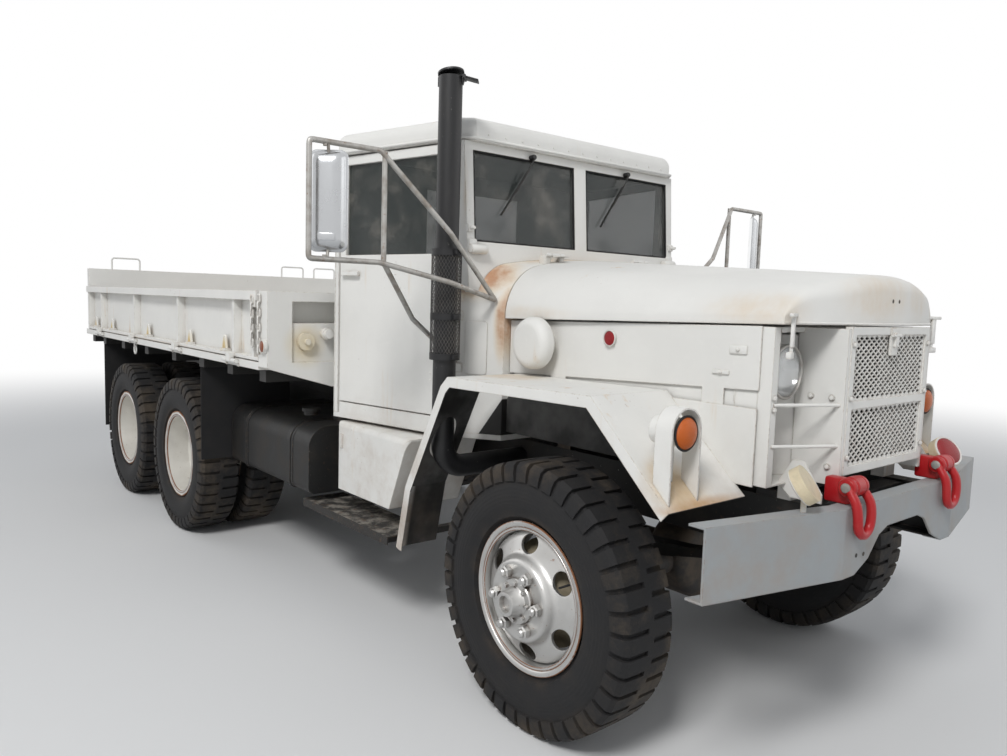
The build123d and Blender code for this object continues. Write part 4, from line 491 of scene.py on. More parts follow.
@finish
def worn_step():
    """Black step plate with its grit worn to bare steel along the top."""
    shade = Shade("worn_step_grit")
    grit = shade.node("ShaderNodeTexVoronoi", {}, Vector=shade.place, Scale=260.0)
    wear = shade.noise(14.0, 7.0, 0.7)
    top = shade.facing("Z").rise(0.5, 0.9)
    base = shade.mix(wear.rise(0.42, 0.62) * top, (0.025, 0.023, 0.021), (0.24, 0.22, 0.19))
    base = shade.mix(shade.noise(30.0, 5.0).rise(0.55, 0.7) * 0.6, base, (0.12, 0.075, 0.045))
    shade.set(Base_Color=base, Roughness=0.62 + wear * 0.3)
    shade.bump(grit * 0.8 + wear * 0.5, 0.003, 0.8)
    return shade.material


def rubber(name, on_tyre):
    """Black rubber with brown dust in its hollows; on a tyre the dust gathers on the tread."""
    shade = Shade(name)
    cloud = shade.noise(9.0, 6.0, 0.65)
    grain = shade.noise(160.0, 3.0, 0.6)
    base = shade.mix(cloud.rise(0.35, 0.8) * 0.35, (0.013, 0.013, 0.014), (0.036, 0.032, 0.029))
    if on_tyre:
        radius = shade.wheel_radius()
        tread = radius.rise(TYRE_RADIUS - 0.035, TYRE_RADIUS - 0.006)
        hollow = radius.rise(TYRE_RADIUS - 0.10, TYRE_RADIUS - 0.03) * (1.0 - tread)
        bead = radius.fall(RIM_RADIUS + 0.01, RIM_RADIUS + 0.05)
        smear = shade.noise(4.0, 7.0, 0.7).rise(0.42, 0.68)
        base = shade.mix(hollow * smear * 0.40, base, (0.13, 0.095, 0.06))
        base = shade.mix(tread * smear * 0.42, base, (0.15, 0.115, 0.078))
        base = shade.mix(bead * cloud.rise(0.35, 0.7) * 0.25, base, (0.10, 0.07, 0.045))
        rings = (radius * 420.0).sine() * radius.rise(0.33, 0.36) * radius.fall(0.40, 0.43)
        shade.bump(rings * 0.12 + grain * 0.3 + cloud * 0.4, 0.004, 0.6)
    else:
        shade.bump(grain * 0.4 + cloud, 0.002, 0.5)
    shade.set(Base_Color=base, Roughness=0.68 + cloud * 0.25, Specular_IOR_Level=0.35)
    return shade.material


@finish
def tyre_rubber():
    return rubber("dusty_tyre_rubber", True)


@finish
def black_rubber():
    return rubber("black_rubber_sheet", False)


def silver(name, bright, dull, metal, seams):
    """Silver wheel paint, rusted along the rings' seams, and darker round the nuts with grime and painted
    shade.
    """
    shade = Shade(name)
    radius = shade.wheel_radius()
    cloud = shade.noise(7.0, 5.0, 0.55)
    grain = shade.noise(70.0, 4.0, 0.6)
    base = shade.mix(cloud.rise(0.35, 0.75) * 0.7, bright, dull)
    rust = grain.rise(0.66, 0.71) * 0.6
    bite = (cloud * 0.8 + grain * 0.5).rise(0.38, 0.62)
    for seam, reach in seams:
        rust = rust | (radius - seam).size().fall(reach * 0.3, reach) * bite
    base = shade.mix(rust, base, (0.22, 0.085, 0.03))
    # Darker in the hub's corners: painted shade from ambient occlusion, with grime.
    hub_shade_and_grime = radius.fall(0.125, 0.150) * shade.crevice(0.03) * 0.9
    base = shade.mix(hub_shade_and_grime, base, (0.10, 0.06, 0.035))
    shade.set(Base_Color=base, Metallic=metal - rust * metal, Roughness=0.27 + cloud * 0.16 + rust * 0.35)
    shade.bump(grain * 0.25 + cloud * 0.6, 0.001, 0.35)
    return shade.material


@finish
def wheel_paint():
    """The front wheels' bright silver."""
    seams = ((RIM_RADIUS - 0.0012, 0.003), (0.2505, 0.0022), (0.261, 0.0026))
    return silver("silver_wheel_paint", (0.56, 0.555, 0.54), (0.42, 0.41, 0.395), 0.82, seams)


@finish
def dish_paint():
    """The twins' chalky silver, almost white."""
    seams = ((RIM_RADIUS - 0.0015, 0.004),)
    return silver("chalky_wheel_paint", (0.72, 0.70, 0.65), (0.60, 0.575, 0.52), 0.25, seams)


@finish
def bare_steel():
    """Bare steel tube, dulled and spotted."""
    shade = Shade("dull_bare_steel")
    cloud = shade.noise(18.0, 6.0, 0.6)
    base = shade.mix(cloud.rise(0.4, 0.75), (0.42, 0.41, 0.39), (0.25, 0.22, 0.19))
    base = shade.mix(shade.noise(60.0, 4.0).rise(0.62, 0.72) * 0.7, base, (0.20, 0.10, 0.05))
    shade.set(Base_Color=base, Metallic=0.7, Roughness=0.38 + cloud * 0.25)
    shade.bump(cloud, 0.001, 0.3)
    return shade.material


@finish
def dark_iron():
    """Oily cast iron under the truck and under the hood."""
    shade = Shade("oily_cast_iron")
    cloud = shade.noise(11.0, 7.0, 0.65)
    base = shade.mix(cloud.rise(0.35, 0.7), (0.035, 0.032, 0.030), (0.11, 0.085, 0.062))
    shade.set(Base_Color=base, Metallic=0.2, Roughness=0.5 + cloud * 0.3)
    shade.bump(shade.noise(120.0, 3.0) * 0.5 + cloud, 0.003, 0.5)
    return shade.material


def powdery(name, noise, span, dark, light, rough):
    """A dull coat that drifts between two colours; rough is the least roughness and its drift."""
    shade = Shade(name)
    cloud = shade.noise(*noise)
    shade.set(Base_Color=shade.mix(cloud.rise(*span), dark, light), Roughness=rough[0] + cloud * rough[1])
    return shade, cloud


@finish
def drum_iron():
    """The brake drums' iron under tan dust."""
    brown, tan = (0.20, 0.165, 0.11), (0.34, 0.29, 0.20)
    shade, cloud = powdery("dusty_brake_drum", (14.0, 6.0, 0.65), (0.3, 0.7), brown, tan, (0.7, 0.2))
    shade.bump(cloud, 0.002, 0.5)
    return shade.material


@finish
def drab_mesh():
    """The heat shield's dull grey mesh."""
    dark, grey = (0.075, 0.072, 0.070), (0.15, 0.135, 0.12)
    shade, _ = powdery("dull_heat_shield", (14.0, 5.0, 0.6), (0.4, 0.7), dark, grey, (0.55, 0.2))
    return shade.material


@finish
def window_glass():
    """Old window glass, faintly green, with dust towards its edges."""
    shade = Shade("dusty_window_glass")
    dust = shade.noise(6.0, 5.0, 0.6).rise(0.45, 0.8)
    shade.set(Base_Color=shade.mix(dust, (0.025, 0.035, 0.034), (0.16, 0.15, 0.13)))
    shade.set(Roughness=0.04 + dust * 0.1, Alpha=0.46 + dust * 0.22, Specular_IOR_Level=0.4)
    return shade.material


def lens(name, colour, painted_glow):
    """A moulded lens with fine rings pressed in it, and a faint painted glow."""
    shade = Shade(name)
    cloud = shade.noise(30.0, 4.0)
    ribs = (shade.axis(2) * 1800.0).sine() * 0.5 + (shade.axis(1) * 1800.0).sine() * 0.5
    base = shade.mix(cloud.rise(0.45, 0.8) * 0.5, colour, tuple(0.7 * c + 0.01 for c in colour))
    shade.set(Base_Color=base, Roughness=0.22 + cloud * 0.2, Coat_Weight=0.15, Specular_IOR_Level=0.3)
    # A faint painted glow in the lens colour.
    shade.set(Emission_Strength=painted_glow, Emission_Color=base)
    shade.bump(ribs, 0.001, 0.5)
    return shade.material


@finish
def amber_lens():
    return lens("amber_lens", (0.52, 0.105, 0.008), 0.06)


@finish
def red_lens():
    return lens("red_lens", (0.26, 0.004, 0.008), 0.04)


@finish
def rust_lens():
    return lens("rust_brown_lens", (0.22, 0.055, 0.015), 0.05)


@finish
def cream_lens():
    return lens("cream_lens", (0.72, 0.62, 0.43), 0.0)


@finish
def headlight_glass():
    shade = Shade("clear_headlight_glass")
    cloud = shade.noise(20.0, 3.0)
    ribs = (shade.axis(1) * 700.0).sine()
    shade.set(Base_Color=shade.mix(cloud, (0.70, 0.73, 0.74), (0.80, 0.80, 0.78)))
    shade.set(Roughness=0.05 + cloud * 0.06, Alpha=0.22 + cloud * 0.1, Coat_Weight=1.0)
    shade.bump(ribs, 0.002, 0.4)
    return shade.material


@finish
def reflector():
    shade = Shade("silvered_reflector")
    cloud = shade.noise(25.0, 4.0)
    shade.set(Base_Color=shade.mix(cloud, (0.78, 0.79, 0.80), (0.60, 0.60, 0.58)), Metallic=1.0)
    shade.set(Roughness=0.10 + cloud * 0.12)
    return shade.material


@finish
def mirror_case():
    """The polished mirror cases, lightly scratched."""
    shade = Shade("polished_mirror_case")
    cloud = shade.noise(4.0, 4.0)
    stain = shade.noise(9.0, 5.0, 0.6).rise(0.6, 0.8)
    base = shade.mix(cloud, (0.56, 0.57, 0.585), (0.44, 0.45, 0.46))
    base = shade.mix(stain * 0.4, base, (0.36, 0.32, 0.27))
    shade.set(Base_Color=base, Metallic=0.9, Roughness=0.20 + cloud * 0.14 + stain * 0.2)
    return shade.material


@finish
def mirror_glass():
    shade = Shade("mirror_glass")
    haze = shade.noise(14.0, 4.0).rise(0.5, 0.8)
    shade.set(Base_Color=shade.mix(haze, (0.80, 0.82, 0.83), (0.55, 0.54, 0.50)), Metallic=1.0)
    shade.set(Roughness=0.03 + haze * 0.25)
    return shade.material


@finish
def seat_canvas():
    """Olive canvas: a plain weave with worn, faded patches."""
    shade = Shade("olive_seat_canvas")
    warp = (shade.axis(1) * 2600.0).sine() * (shade.axis(0) * 2600.0).sine()
    cloud = shade.noise(8.0, 6.0, 0.6)
    base = shade.mix(cloud.rise(0.35, 0.75), (0.075, 0.080, 0.050), (0.17, 0.155, 0.11))
    base = shade.mix(warp.rise(-0.2, 0.9) * 0.4, base, (0.20, 0.19, 0.14))
    shade.set(Base_Color=base, Roughness=0.85, Sheen_Weight=0.2)
    shade.bump(warp * 0.5 + cloud, 0.001, 0.6)
    return shade.material


# The CAD nodes that stay visible, with their finish
DRESS = (
    (("hood",), hood_paint),
    (("hood_side_panels", "nose_frame", "grille", "battery_box", "cab_floor", "cab_back"), white_paint),
    (("fender_left", "fender_right"), fender_paint),
    (("cowl",), cowl_paint),
    (("windshield_frame", "cab_roof", "door_left", "door_right"), white_paint),
    (("headboard", "bed_side_left", "bed_side_right", "tailgate"), bed_paint),
    (("bed_floor",), bed_floor_paint),
    (("front_bumper", "seat_boxes"), grey_paint),
    (("frame_rails", "frame_crossmembers", "fuel_tank", "exhaust_stack", "air_tanks"), black_paint),
    (("radiator", "rear_fittings", "steering_wheel", "leaf_springs", "tie_rod"), black_paint),
    (("front_axle", "bogie_axles", "driveline", "engine", "knuckle_left", "knuckle_right"), dark_iron),
    (("running_boards",), worn_step),
    (("mudflaps",), black_rubber),
    (("cab_glass", "door_glass_left", "door_glass_right"), window_glass),
)


def deselect():
    if bpy.context.object and bpy.context.object.mode != "OBJECT":
        bpy.ops.object.mode_set(mode="OBJECT")
    bpy.ops.object.select_all(action="DESELECT")


def make_active(piece):
    deselect()
    piece.select_set(True)
    bpy.context.view_layer.objects.active = piece


@contextmanager
def editing(piece):
    """Edit mode on one piece, with all of it selected."""
    make_active(piece)
    bpy.ops.object.mode_set(mode="EDIT")
    bpy.ops.mesh.select_all(action="SELECT")
    yield
    bpy.ops.object.mode_set(mode="OBJECT")


@contextmanager
def selecting(piece, kind, region):
    """Edit mode on one piece, with just the faces or edges selected that the region takes."""
    with editing(piece):
        bpy.ops.mesh.select_mode(type=kind)
        bpy.ops.mesh.select_all(action="DESELECT")
        form = bmesh.from_edit_mesh(piece.data)
        for part in form.faces if kind == "FACE" else form.edges:
            part.select_set(bool(region(part)))
        form.select_flush_mode()
        bmesh.update_edit_mesh(piece.data)
        yield


def faces_where(piece, region):
    """Edit mode with the faces selected whose middle and normal the region takes."""
    return selecting(piece, "FACE", lambda face: region(face.calc_center_median(), face.normal))


def applied(piece, kind, **settings):
    """Adds a modifier, sets it and applies it."""
    make_active(piece)
    modifier = piece.modifiers.new(kind.lower(), kind)
    for key, value in settings.items():
        setattr(modifier, key, value)
    bpy.ops.object.modifier_apply(modifier=modifier.name)


def smooth(piece, angle):
    make_active(piece)
    bpy.ops.object.shade_smooth_by_angle(angle=math.radians(angle))


def placed(piece, matrix=None):
    """Moves the object's place, or the given one, into its mesh, so that it sits at the origin."""
    if matrix is not None:
        piece.matrix_world = matrix
    make_active(piece)
    bpy.ops.object.transform_apply(location=True, rotation=True, scale=True)


def outward(piece):
    """Turns all faces outwards after doubles are merged."""
    with editing(piece):
        bpy.ops.mesh.remove_doubles(threshold=1e-5)
        bpy.ops.mesh.normals_make_consistent(inside=False)


def coat(piece, material):
    piece.data.materials.clear()
    piece.data.materials.append(material)


def joined(pieces, name):
    """Several meshes as one piece."""
    deselect()
    for piece in pieces:
        piece.select_set(True)
    bpy.context.view_layer.objects.active = pieces[0]
    bpy.ops.object.join()
    pieces[0].name = name
    pieces[0].data.name = name
    return pieces[0]


def seated(piece, body, slot, *nodes):
    """Rides a finished piece on its body and hides the nodes that it stands for; its slot is not used."""
    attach(piece, body)
    if nodes:
        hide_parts(*nodes)


def slot_of(node):
    rows = frame["record"]["subparts"]
    return next(row["material_slot"] for row in rows if row["node"] == node)


def body_of(node):
    return NODES[node]["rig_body"]


def linked(piece):
    bpy.context.scene.collection.objects.link(piece)
    return piece


def copied(piece, matrix):
    """A copy with its own mesh, at a place of its own."""
    copy = linked(piece.copy())
    copy.data = piece.data.copy()
    placed(copy, matrix)
    return copy


def merged_copy(node, name):
    """A copy of a CAD node's mesh, its doubles merged and its flat faces joined."""
    piece = linked(bpy.data.objects.new(name, NODES[node].data.copy()))
    with editing(piece):
        bpy.ops.mesh.customdata_custom_splitnormals_clear()
        bpy.ops.mesh.remove_doubles(threshold=2e-5)
        bpy.ops.mesh.dissolve_limited(angle_limit=math.radians(0.6))
    return piece


def bevelled(piece, width, angle):
    """Rounds the edges that are sharper than an angle."""
    applied(piece, "BEVEL", width=width, segments=2, limit_method="ANGLE", angle_limit=math.radians(angle))


def wire(name, points, closed=False):
    """A chain of loose edges, as a piece."""
    mesh = bpy.data.meshes.new(name)
    count = len(points)
    mesh.from_pydata(points, [(i, (i + 1) % count) for i in range(count if closed else count - 1)], [])
    return linked(bpy.data.objects.new(name, mesh))


def set_radius(piece, centres):
    """Writes each point's distance from its wheel's axis, for the finishes that follow it."""

    def reach(spot):
        return min(math.hypot(spot.x - centre.x, spot.z - centre.z) for centre in centres)

    attribute = piece.data.attributes.new("radius", "FLOAT", "POINT")
    attribute.data.foreach_set("value", [reach(vertex.co) for vertex in piece.data.vertices])


def at(x, y, z):
    """A point from its distance before the front axle, to the left of the middle and above the ground."""
    return Vector((AXLE.x + x, y, z))


def aimed(place, direction):
    """The matrix that puts a piece's own origin at a place and its Z axis along a direction."""
    turn = Vector(direction).to_track_quat("Z", "Y").to_matrix().to_4x4()
    return Matrix.Translation(place) @ turn


def slab(name, low, high, edge=0.002):
    """A block between two corners with its edges rounded."""
    low, high = Vector(low), Vector(high)
    deselect()
    bpy.ops.mesh.primitive_cube_add(size=1.0, location=(low + high) / 2)
    piece = bpy.context.object
    piece.name = name
    piece.scale = high - low
    placed(piece)
    applied(piece, "BEVEL", width=edge, segments=2)
    smooth(piece, 40)
    return piece


def leaf(width, height, corner):
    """A flat leaf with rounded corners about the origin, facing along Z."""
    deselect()
    bpy.ops.mesh.primitive_plane_add(size=1.0)
    piece = bpy.context.object
    piece.scale = (width, height, 1.0)
    placed(piece)
    with editing(piece):
        bpy.ops.mesh.bevel(offset=corner, segments=8, affect="VERTICES")
    return piece


def facing_matrix(place, facing):
    """The matrix that puts a leaf upright at a place, facing along a level direction."""
    facing = Vector(facing).normalized()
    across = Vector((0, 0, 1)).cross(facing)
    return Matrix.Translation(place) @ Matrix((across, Vector((0, 0, 1)), facing)).transposed().to_4x4()


def spun(piece, axis, steps):
    """Spins a chain of edges right round an axis through the origin."""
    with editing(piece):
        bpy.ops.mesh.spin(steps=steps, angle=math.tau, center=(0, 0, 0), axis=axis)
    outward(piece)
    return piece


def turned(name, profile, place, direction, steps, closed=False):
    """A turned form: pairs of radius and distance along the axis, spun about it."""
    outline = wire(name, [(radius, 0.0, along) for radius, along in profile], closed)
    piece = spun(outline, (0, 0, 1), steps)
    placed(piece, aimed(place, direction))
    smooth(piece, 40)
    return piece


def rod(name, radius, start, end, place, direction, steps):
    """A plain round bar between two distances along its axis."""
    profile = ((0.0, start), (radius, start), (radius, end), (0.0, end))
    return turned(name, profile, place, direction, steps)


def tube(name, points, radius, closed=False, flowing=False):
    """A tube through points, straight from one to the next or flowing past them."""
    curve = bpy.data.curves.new(name, "CURVE")
    curve.dimensions = "3D"
    curve.bevel_depth = radius
    curve.bevel_resolution = 2
    curve.use_fill_caps = not closed
    spline = curve.splines.new("NURBS" if flowing else "POLY")
    spline.points.add(len(points) - 1)
    for point, place in zip(spline.points, points):
        point.co = (*place, 1.0)
    spline.use_cyclic_u = closed
    if flowing:
        spline.order_u = 3
        spline.use_endpoint_u = not closed
        spline.resolution_u = 6
    piece = linked(bpy.data.objects.new(name, curve))
    make_active(piece)
    bpy.ops.object.convert(target="MESH")
    piece = bpy.context.object
    outward(piece)
    smooth(piece, 50)
    return piece


def repeated(pattern, places, name):
    """The pattern at each place, each copy with its own mesh, as one piece."""
    copies = [copied(pattern, place) for place in places]
    bpy.data.objects.remove(pattern)
    return joined(copies, name)


def split_off(whole, name, region):
    """Takes the faces of a region out of a piece, as a piece of their own."""
    with faces_where(whole, region):
        bpy.ops.mesh.separate(type="SELECTED")
    part = next(piece for piece in bpy.context.selected_objects if piece != whole)
    part.name = name
    return part


def finished(piece, coating, node, slot=None, instead=False):
    """Coats a piece and rides it with a CAD node, beside it or instead; the slot is not used."""
    coat(piece, coating())
    seated(piece, body_of(node), slot or slot_of(node), *((node,) if instead else ()))


def hexagon(radius, depth, height, inset, rise):
    """A hexagon bar about the Z axis, its upper face chamfered."""
    deselect()
    bpy.ops.mesh.primitive_cylinder_add(vertices=6, radius=radius, depth=depth, location=(0, 0, height))
    head = bpy.context.object
    with faces_where(head, lambda middle, normal: normal.z > 0.9):
        bpy.ops.mesh.inset(thickness=inset, depth=rise)
    placed(head)
    return head


def hex_head(radius):
    """A hexagon bolt head on its washer, about the Z axis."""
    head = hexagon(radius, radius * 0.8, radius * 0.55, radius * 0.22, radius * 0.10)
    # columns: radius, height, in shares of the head's radius
    profile = ((0, 0), (1.45, 0), (1.45, 0.15), (0.9, 0.2), (0, 0.2))
    washer = turned("washer", [(radius * a, radius * b) for a, b in profile], *NOWHERE, 16)
    return joined([head, washer], "bolt")


def button_head(radius):
    """A round head of a rivet or screw, about the Z axis."""
    rise = radius * 0.55
    profile = [(radius, 0), (radius * 0.92, rise * 0.5), (radius * 0.6, rise * 0.88), (0, rise)]
    return turned("rivet", profile, *NOWHERE, 12)


def dimple(radius, rim, low, high):
    """A dark hole's lip, about the Z axis."""
    return turned("dimple", [(0.0, 0.0), (radius, 0.0), (rim, low), (0.0, high)], *NOWHERE, 12)


def valve(node, radius, away, place, side, path):
    """A tyre valve; its path runs in pairs of distance from the axle and distance outwards."""
    stem = [place + away * reach + Vector((0, side * out_by, 0)) for reach, out_by in path]
    finished(tube(node + "_valve", stem, radius, flowing=True), black_rubber, node, "black_rubber")


class TRUCK_OT_panels(Operator):
    """Finishes the CAD nodes that stay visible"""

    bl_idname = "truck.panels"
    bl_label = "Panels and frame"

    def execute(self, context):
        for nodes, coating in DRESS:
            for node in nodes:
                coat(NODES[node], coating())
        return {"FINISHED"}


class TRUCK_OT_tyres(Operator):
    """Lugged tyres in place of the plain ones"""

    bl_idname = "truck.tyres"
    bl_label = "Tyres"

    # columns: axle, the sides of the wheel's middle on which its tyres are
    AXLES = (("front_tyre", (0,)), ("middle_tyres", (-1, 1)), ("rear_tyres", (-1, 1)))

    def execute(self, context):
        sizes = context.scene.truck_sizes
        pattern = self.tyre(sizes)
        spacing = extent("middle_tyres_right").y - TYRE_WIDTH
        for name, side in SIDES:
            for axle, ways in self.AXLES:
                node = f"{axle}_{name}"
                where = middle(node)
                places = [Vector((where.x, where.y + way * spacing / 2, AXLE.z)) for way in ways]
                self.place(places, side, pattern, node)
        bpy.data.objects.remove(pattern)
        return {"FINISHED"}

    def tyre(self, sizes):
        """One tyre about the Y axis: its profile is spun, then the lugs are drawn out of the tread."""
        half = TYRE_WIDTH / 2
        base = TYRE_RADIUS - sizes.lug_height
        # columns: share of the half width, radius
        side = (
            (0.70, RIM_RADIUS - 0.002),
            (0.74, RIM_RADIUS + 0.010),
            (0.88, RIM_RADIUS + 0.018),
            (0.90, RIM_RADIUS + 0.034),
            (0.975, RIM_RADIUS + 0.055),
            (0.99, RIM_RADIUS + 0.095),
            (0.97, RIM_RADIUS + 0.125),
            (0.935, base - 0.058),
            (0.90, base - 0.030),
            (0.85, base - 0.008),
            (0.78, base),
            (0.40, base + 0.003),
            (0.10, base + 0.004),
        )
        outline = [(0.0, across * half, radius) for across, radius in side]
        outline += [(0.0, -across, radius) for _, across, radius in reversed(outline)]
        steps = sizes.lug_count * 4
        piece = spun(wire("tyre", outline), (0, 1, 0), steps)
        self.draw_lugs(piece, steps, half, base, sizes.lug_height)
        return piece

    def draw_lugs(self, piece, steps, half, base, height):
        """Draws out a lug from every four stretches of each shoulder, staggered from side to side."""
        pitch = math.tau / steps

        def on_lug(centre, normal):
            if math.hypot(centre.x, centre.z) < base - 0.050:
                return False
            index = int((math.atan2(centre.z, centre.x) % math.tau) / pitch)
            across = centre.y / half
            if abs(across) < 0.10:
                return True
            return (index + (2 if across > 0 else 0)) % 4 != 0

        with faces_where(piece, on_lug):
            bpy.ops.mesh.extrude_region_shrink_fatten(
                TRANSFORM_OT_shrink_fatten={"value": height * 0.96, "use_even_offset": False}
            )
            form = bmesh.from_edit_mesh(piece.data)
            for vertex in form.verts:
                radius = math.hypot(vertex.co.x, vertex.co.z)
                vertex.co.y = max(-half, min(half, vertex.co.y))
                if radius > TYRE_RADIUS:
                    vertex.co.x *= TYRE_RADIUS / radius
                    vertex.co.z *= TYRE_RADIUS / radius
            bmesh.update_edit_mesh(piece.data)

    def place(self, places, side, pattern, node):
        """One node's tyres, the right-hand ones turned round."""
        turn = Matrix.Rotation(0 if side > 0 else math.pi, 4, "Z")
        tyres = [copied(pattern, Matrix.Translation(place) @ turn) for place in places]
        piece = joined(tyres, node + "_lugged")
        smooth(piece, 30)
        set_radius(piece, [middle(node)])
        finished(piece, tyre_rubber, node, instead=True)


class TRUCK_OT_wheels(Operator):
    """Steel wheels: the front ones turned, the twins as rounded CAD wheels with lock rings"""

    bl_idname = "truck.wheels"
    bl_label = "Wheels"

    # Distance from the truck's middle of the front rim's middle and of the twins' lock ring
    FRONT_OUT = 0.862
    TWIN_OUT = 1.148
    # The hand holes: count, turn of the first, distance from the axle, half width and half height
    HOLES = 6
    FIRST_HOLE = math.radians(-1)
    HOLE_CIRCLE = 0.203
    HOLE = (0.044, 0.0345)
    # columns: radius, distance outwards
    LOCK_RING = (
        (0.2500, 0.0), (0.2505, 0.006), (0.254, 0.0085), (0.266, 0.009), (0.2705, 0.006), (0.2705, 0.0),
    )
    RIM = (
        (0.284, 0.098), (0.284, 0.103), (0.281, 0.105), (0.268, 0.1045), (0.264, 0.102), (0.262, 0.0985),
        (0.260, 0.0985), (0.258, 0.101), (0.251, 0.1005), (0.248, 0.097), (0.246, 0.080), (0.244, 0.030),
        (0.240, -0.080), (0.270, -0.098), (0.274, -0.105), (0.284, -0.105), (0.284, -0.098),
        (0.262, -0.090), (0.252, -0.080), (0.252, 0.060), (0.262, 0.090),
    )
    DISC = (
        (0.2445, 0.056), (0.2440, 0.066), (0.241, 0.074), (0.234, 0.0805), (0.215, 0.089), (0.196, 0.0965),
        (0.178, 0.103), (0.170, 0.107), (0.164, 0.114), (0.159, 0.124), (0.154, 0.136), (0.149, 0.143),
        (0.142, 0.147), (0.134, 0.1475), (0.126, 0.1455), (0.078, 0.145), (0.078, 0.135), (0.126, 0.1355),
        (0.134, 0.1375), (0.1405, 0.1355), (0.146, 0.130), (0.151, 0.118), (0.157, 0.105), (0.166, 0.0975),
        (0.176, 0.093), (0.213, 0.079), (0.231, 0.071), (0.236, 0.064), (0.237, 0.056),
    )
    HUB = (
        (0.082, 0.132), (0.084, 0.156), (0.081, 0.160), (0.060, 0.161), (0.055, 0.166), (0.047, 0.199),
        (0.044, 0.2075), (0.037, 0.2095), (0.031, 0.2085), (0.029, 0.203), (0.028, 0.191), (0.0, 0.190),
    )
    DRUM = (
        (0.060, -0.120), (0.205, -0.120), (0.207, -0.010), (0.200, 0.000), (0.170, 0.030), (0.130, 0.090),
        (0.100, 0.130), (0.060, 0.130),
    )

    def execute(self, context):
        for name, side in SIDES:
            self.front(name, side)
            for node in (f"middle_wheels_{name}", f"rear_wheels_{name}"):
                piece = merged_copy(node, node + "_dressed")
                bevelled(piece, 0.002, 32)
                smooth(piece, 40)
                set_radius(piece, [middle(node)])
                finished(piece, dish_paint, node, instead=True)
                self.lock_ring(node, side)
        return {"FINISHED"}

    def lock_ring(self, node, side):
        """The twins' bright lock ring and the valve that stands out of the outer rim."""
        place = Vector((middle(node).x, side * self.TWIN_OUT, AXLE.z))
        ring = turned(node + "_lock_ring", self.LOCK_RING, place, (0, side, 0), 72, closed=True)
        smooth(ring, 35)
        set_radius(ring, [place])
        finished(ring, wheel_paint, node)
        path = ((0.238, -0.150), (0.234, -0.115), (0.226, -0.080), (0.222, -0.045))
        valve(node, 0.0045, Vector((0.87, 0, 0.49)), place, side, path)

    def front(self, name, side):
        """The front wheel, turned from its sections, with its hand holes cut through the disc."""
        node = f"front_wheel_{name}"
        place = Vector((AXLE.x, side * self.FRONT_OUT, AXLE.z))
        out = (0, side, 0)
        plate = turned("disc", self.DISC, place, out, 72, closed=True)
        across, up = self.HOLE
        for index in range(self.HOLES):
            angle = math.tau * index / self.HOLES + self.FIRST_HOLE
            deselect()
            bpy.ops.mesh.primitive_cylinder_add(vertices=36, radius=1.0, depth=0.16)
            cutter = bpy.context.object
            level = Vector((math.cos(angle), 0, -math.sin(angle)))
            away = Vector((math.sin(angle), 0, math.cos(angle)))
            turn = Matrix((level * across, away * up, Vector((0, 1, 0)))).transposed().to_4x4()
            centre = place + away * self.HOLE_CIRCLE + Vector((0, side * 0.090, 0))
            placed(cutter, Matrix.Translation(centre) @ turn)
            outward(cutter)
            applied(plate, "BOOLEAN", operation="DIFFERENCE", object=cutter, solver="EXACT")
            bpy.data.objects.remove(cutter)
        bevelled(plate, 0.0015, 50)
        rim = turned("rim", self.RIM, place, out, 72, closed=True)
        hub = turned("hub", self.HUB, place, out, 48)
        piece = joined([rim, plate, hub], node + "_turned")
        smooth(piece, 35)
        set_radius(piece, [place])
        finished(piece, wheel_paint, node, instead=True)
        drum = turned(node + "_drum", self.DRUM, place, out, 48, closed=True)
        finished(drum, drum_iron, node, "dark_iron")
        path = ((0.238, 0.050), (0.226, 0.085), (0.214, 0.100), (0.207, 0.118))
        turn = math.radians(62)
        valve(node, 0.0042, Vector((math.sin(turn), 0, math.cos(turn))), place, side, path)


def through(first, middle, last, count):
    """Points along the arc through three points of a plane."""
    (x1, y1), (x2, y2), (x3, y3) = first, middle, last
    twice = 2 * (x1 * (y2 - y3) + x2 * (y3 - y1) + x3 * (y1 - y2))
    a, b, c = x1 * x1 + y1 * y1, x2 * x2 + y2 * y2, x3 * x3 + y3 * y3
    x = (a * (y2 - y3) + b * (y3 - y1) + c * (y1 - y2)) / twice
    y = (a * (x3 - x2) + b * (x1 - x3) + c * (x2 - x1)) / twice
    start = math.atan2(y1 - y, x1 - x)
    sweep = (math.atan2(y3 - y, x3 - x) - start + math.pi) % math.tau - math.pi
    reach = math.hypot(x1 - x, y1 - y)
    angles = [start + sweep * index / count for index in range(count + 1)]
    return [(x + reach * math.cos(angle), y + reach * math.sin(angle)) for angle in angles]


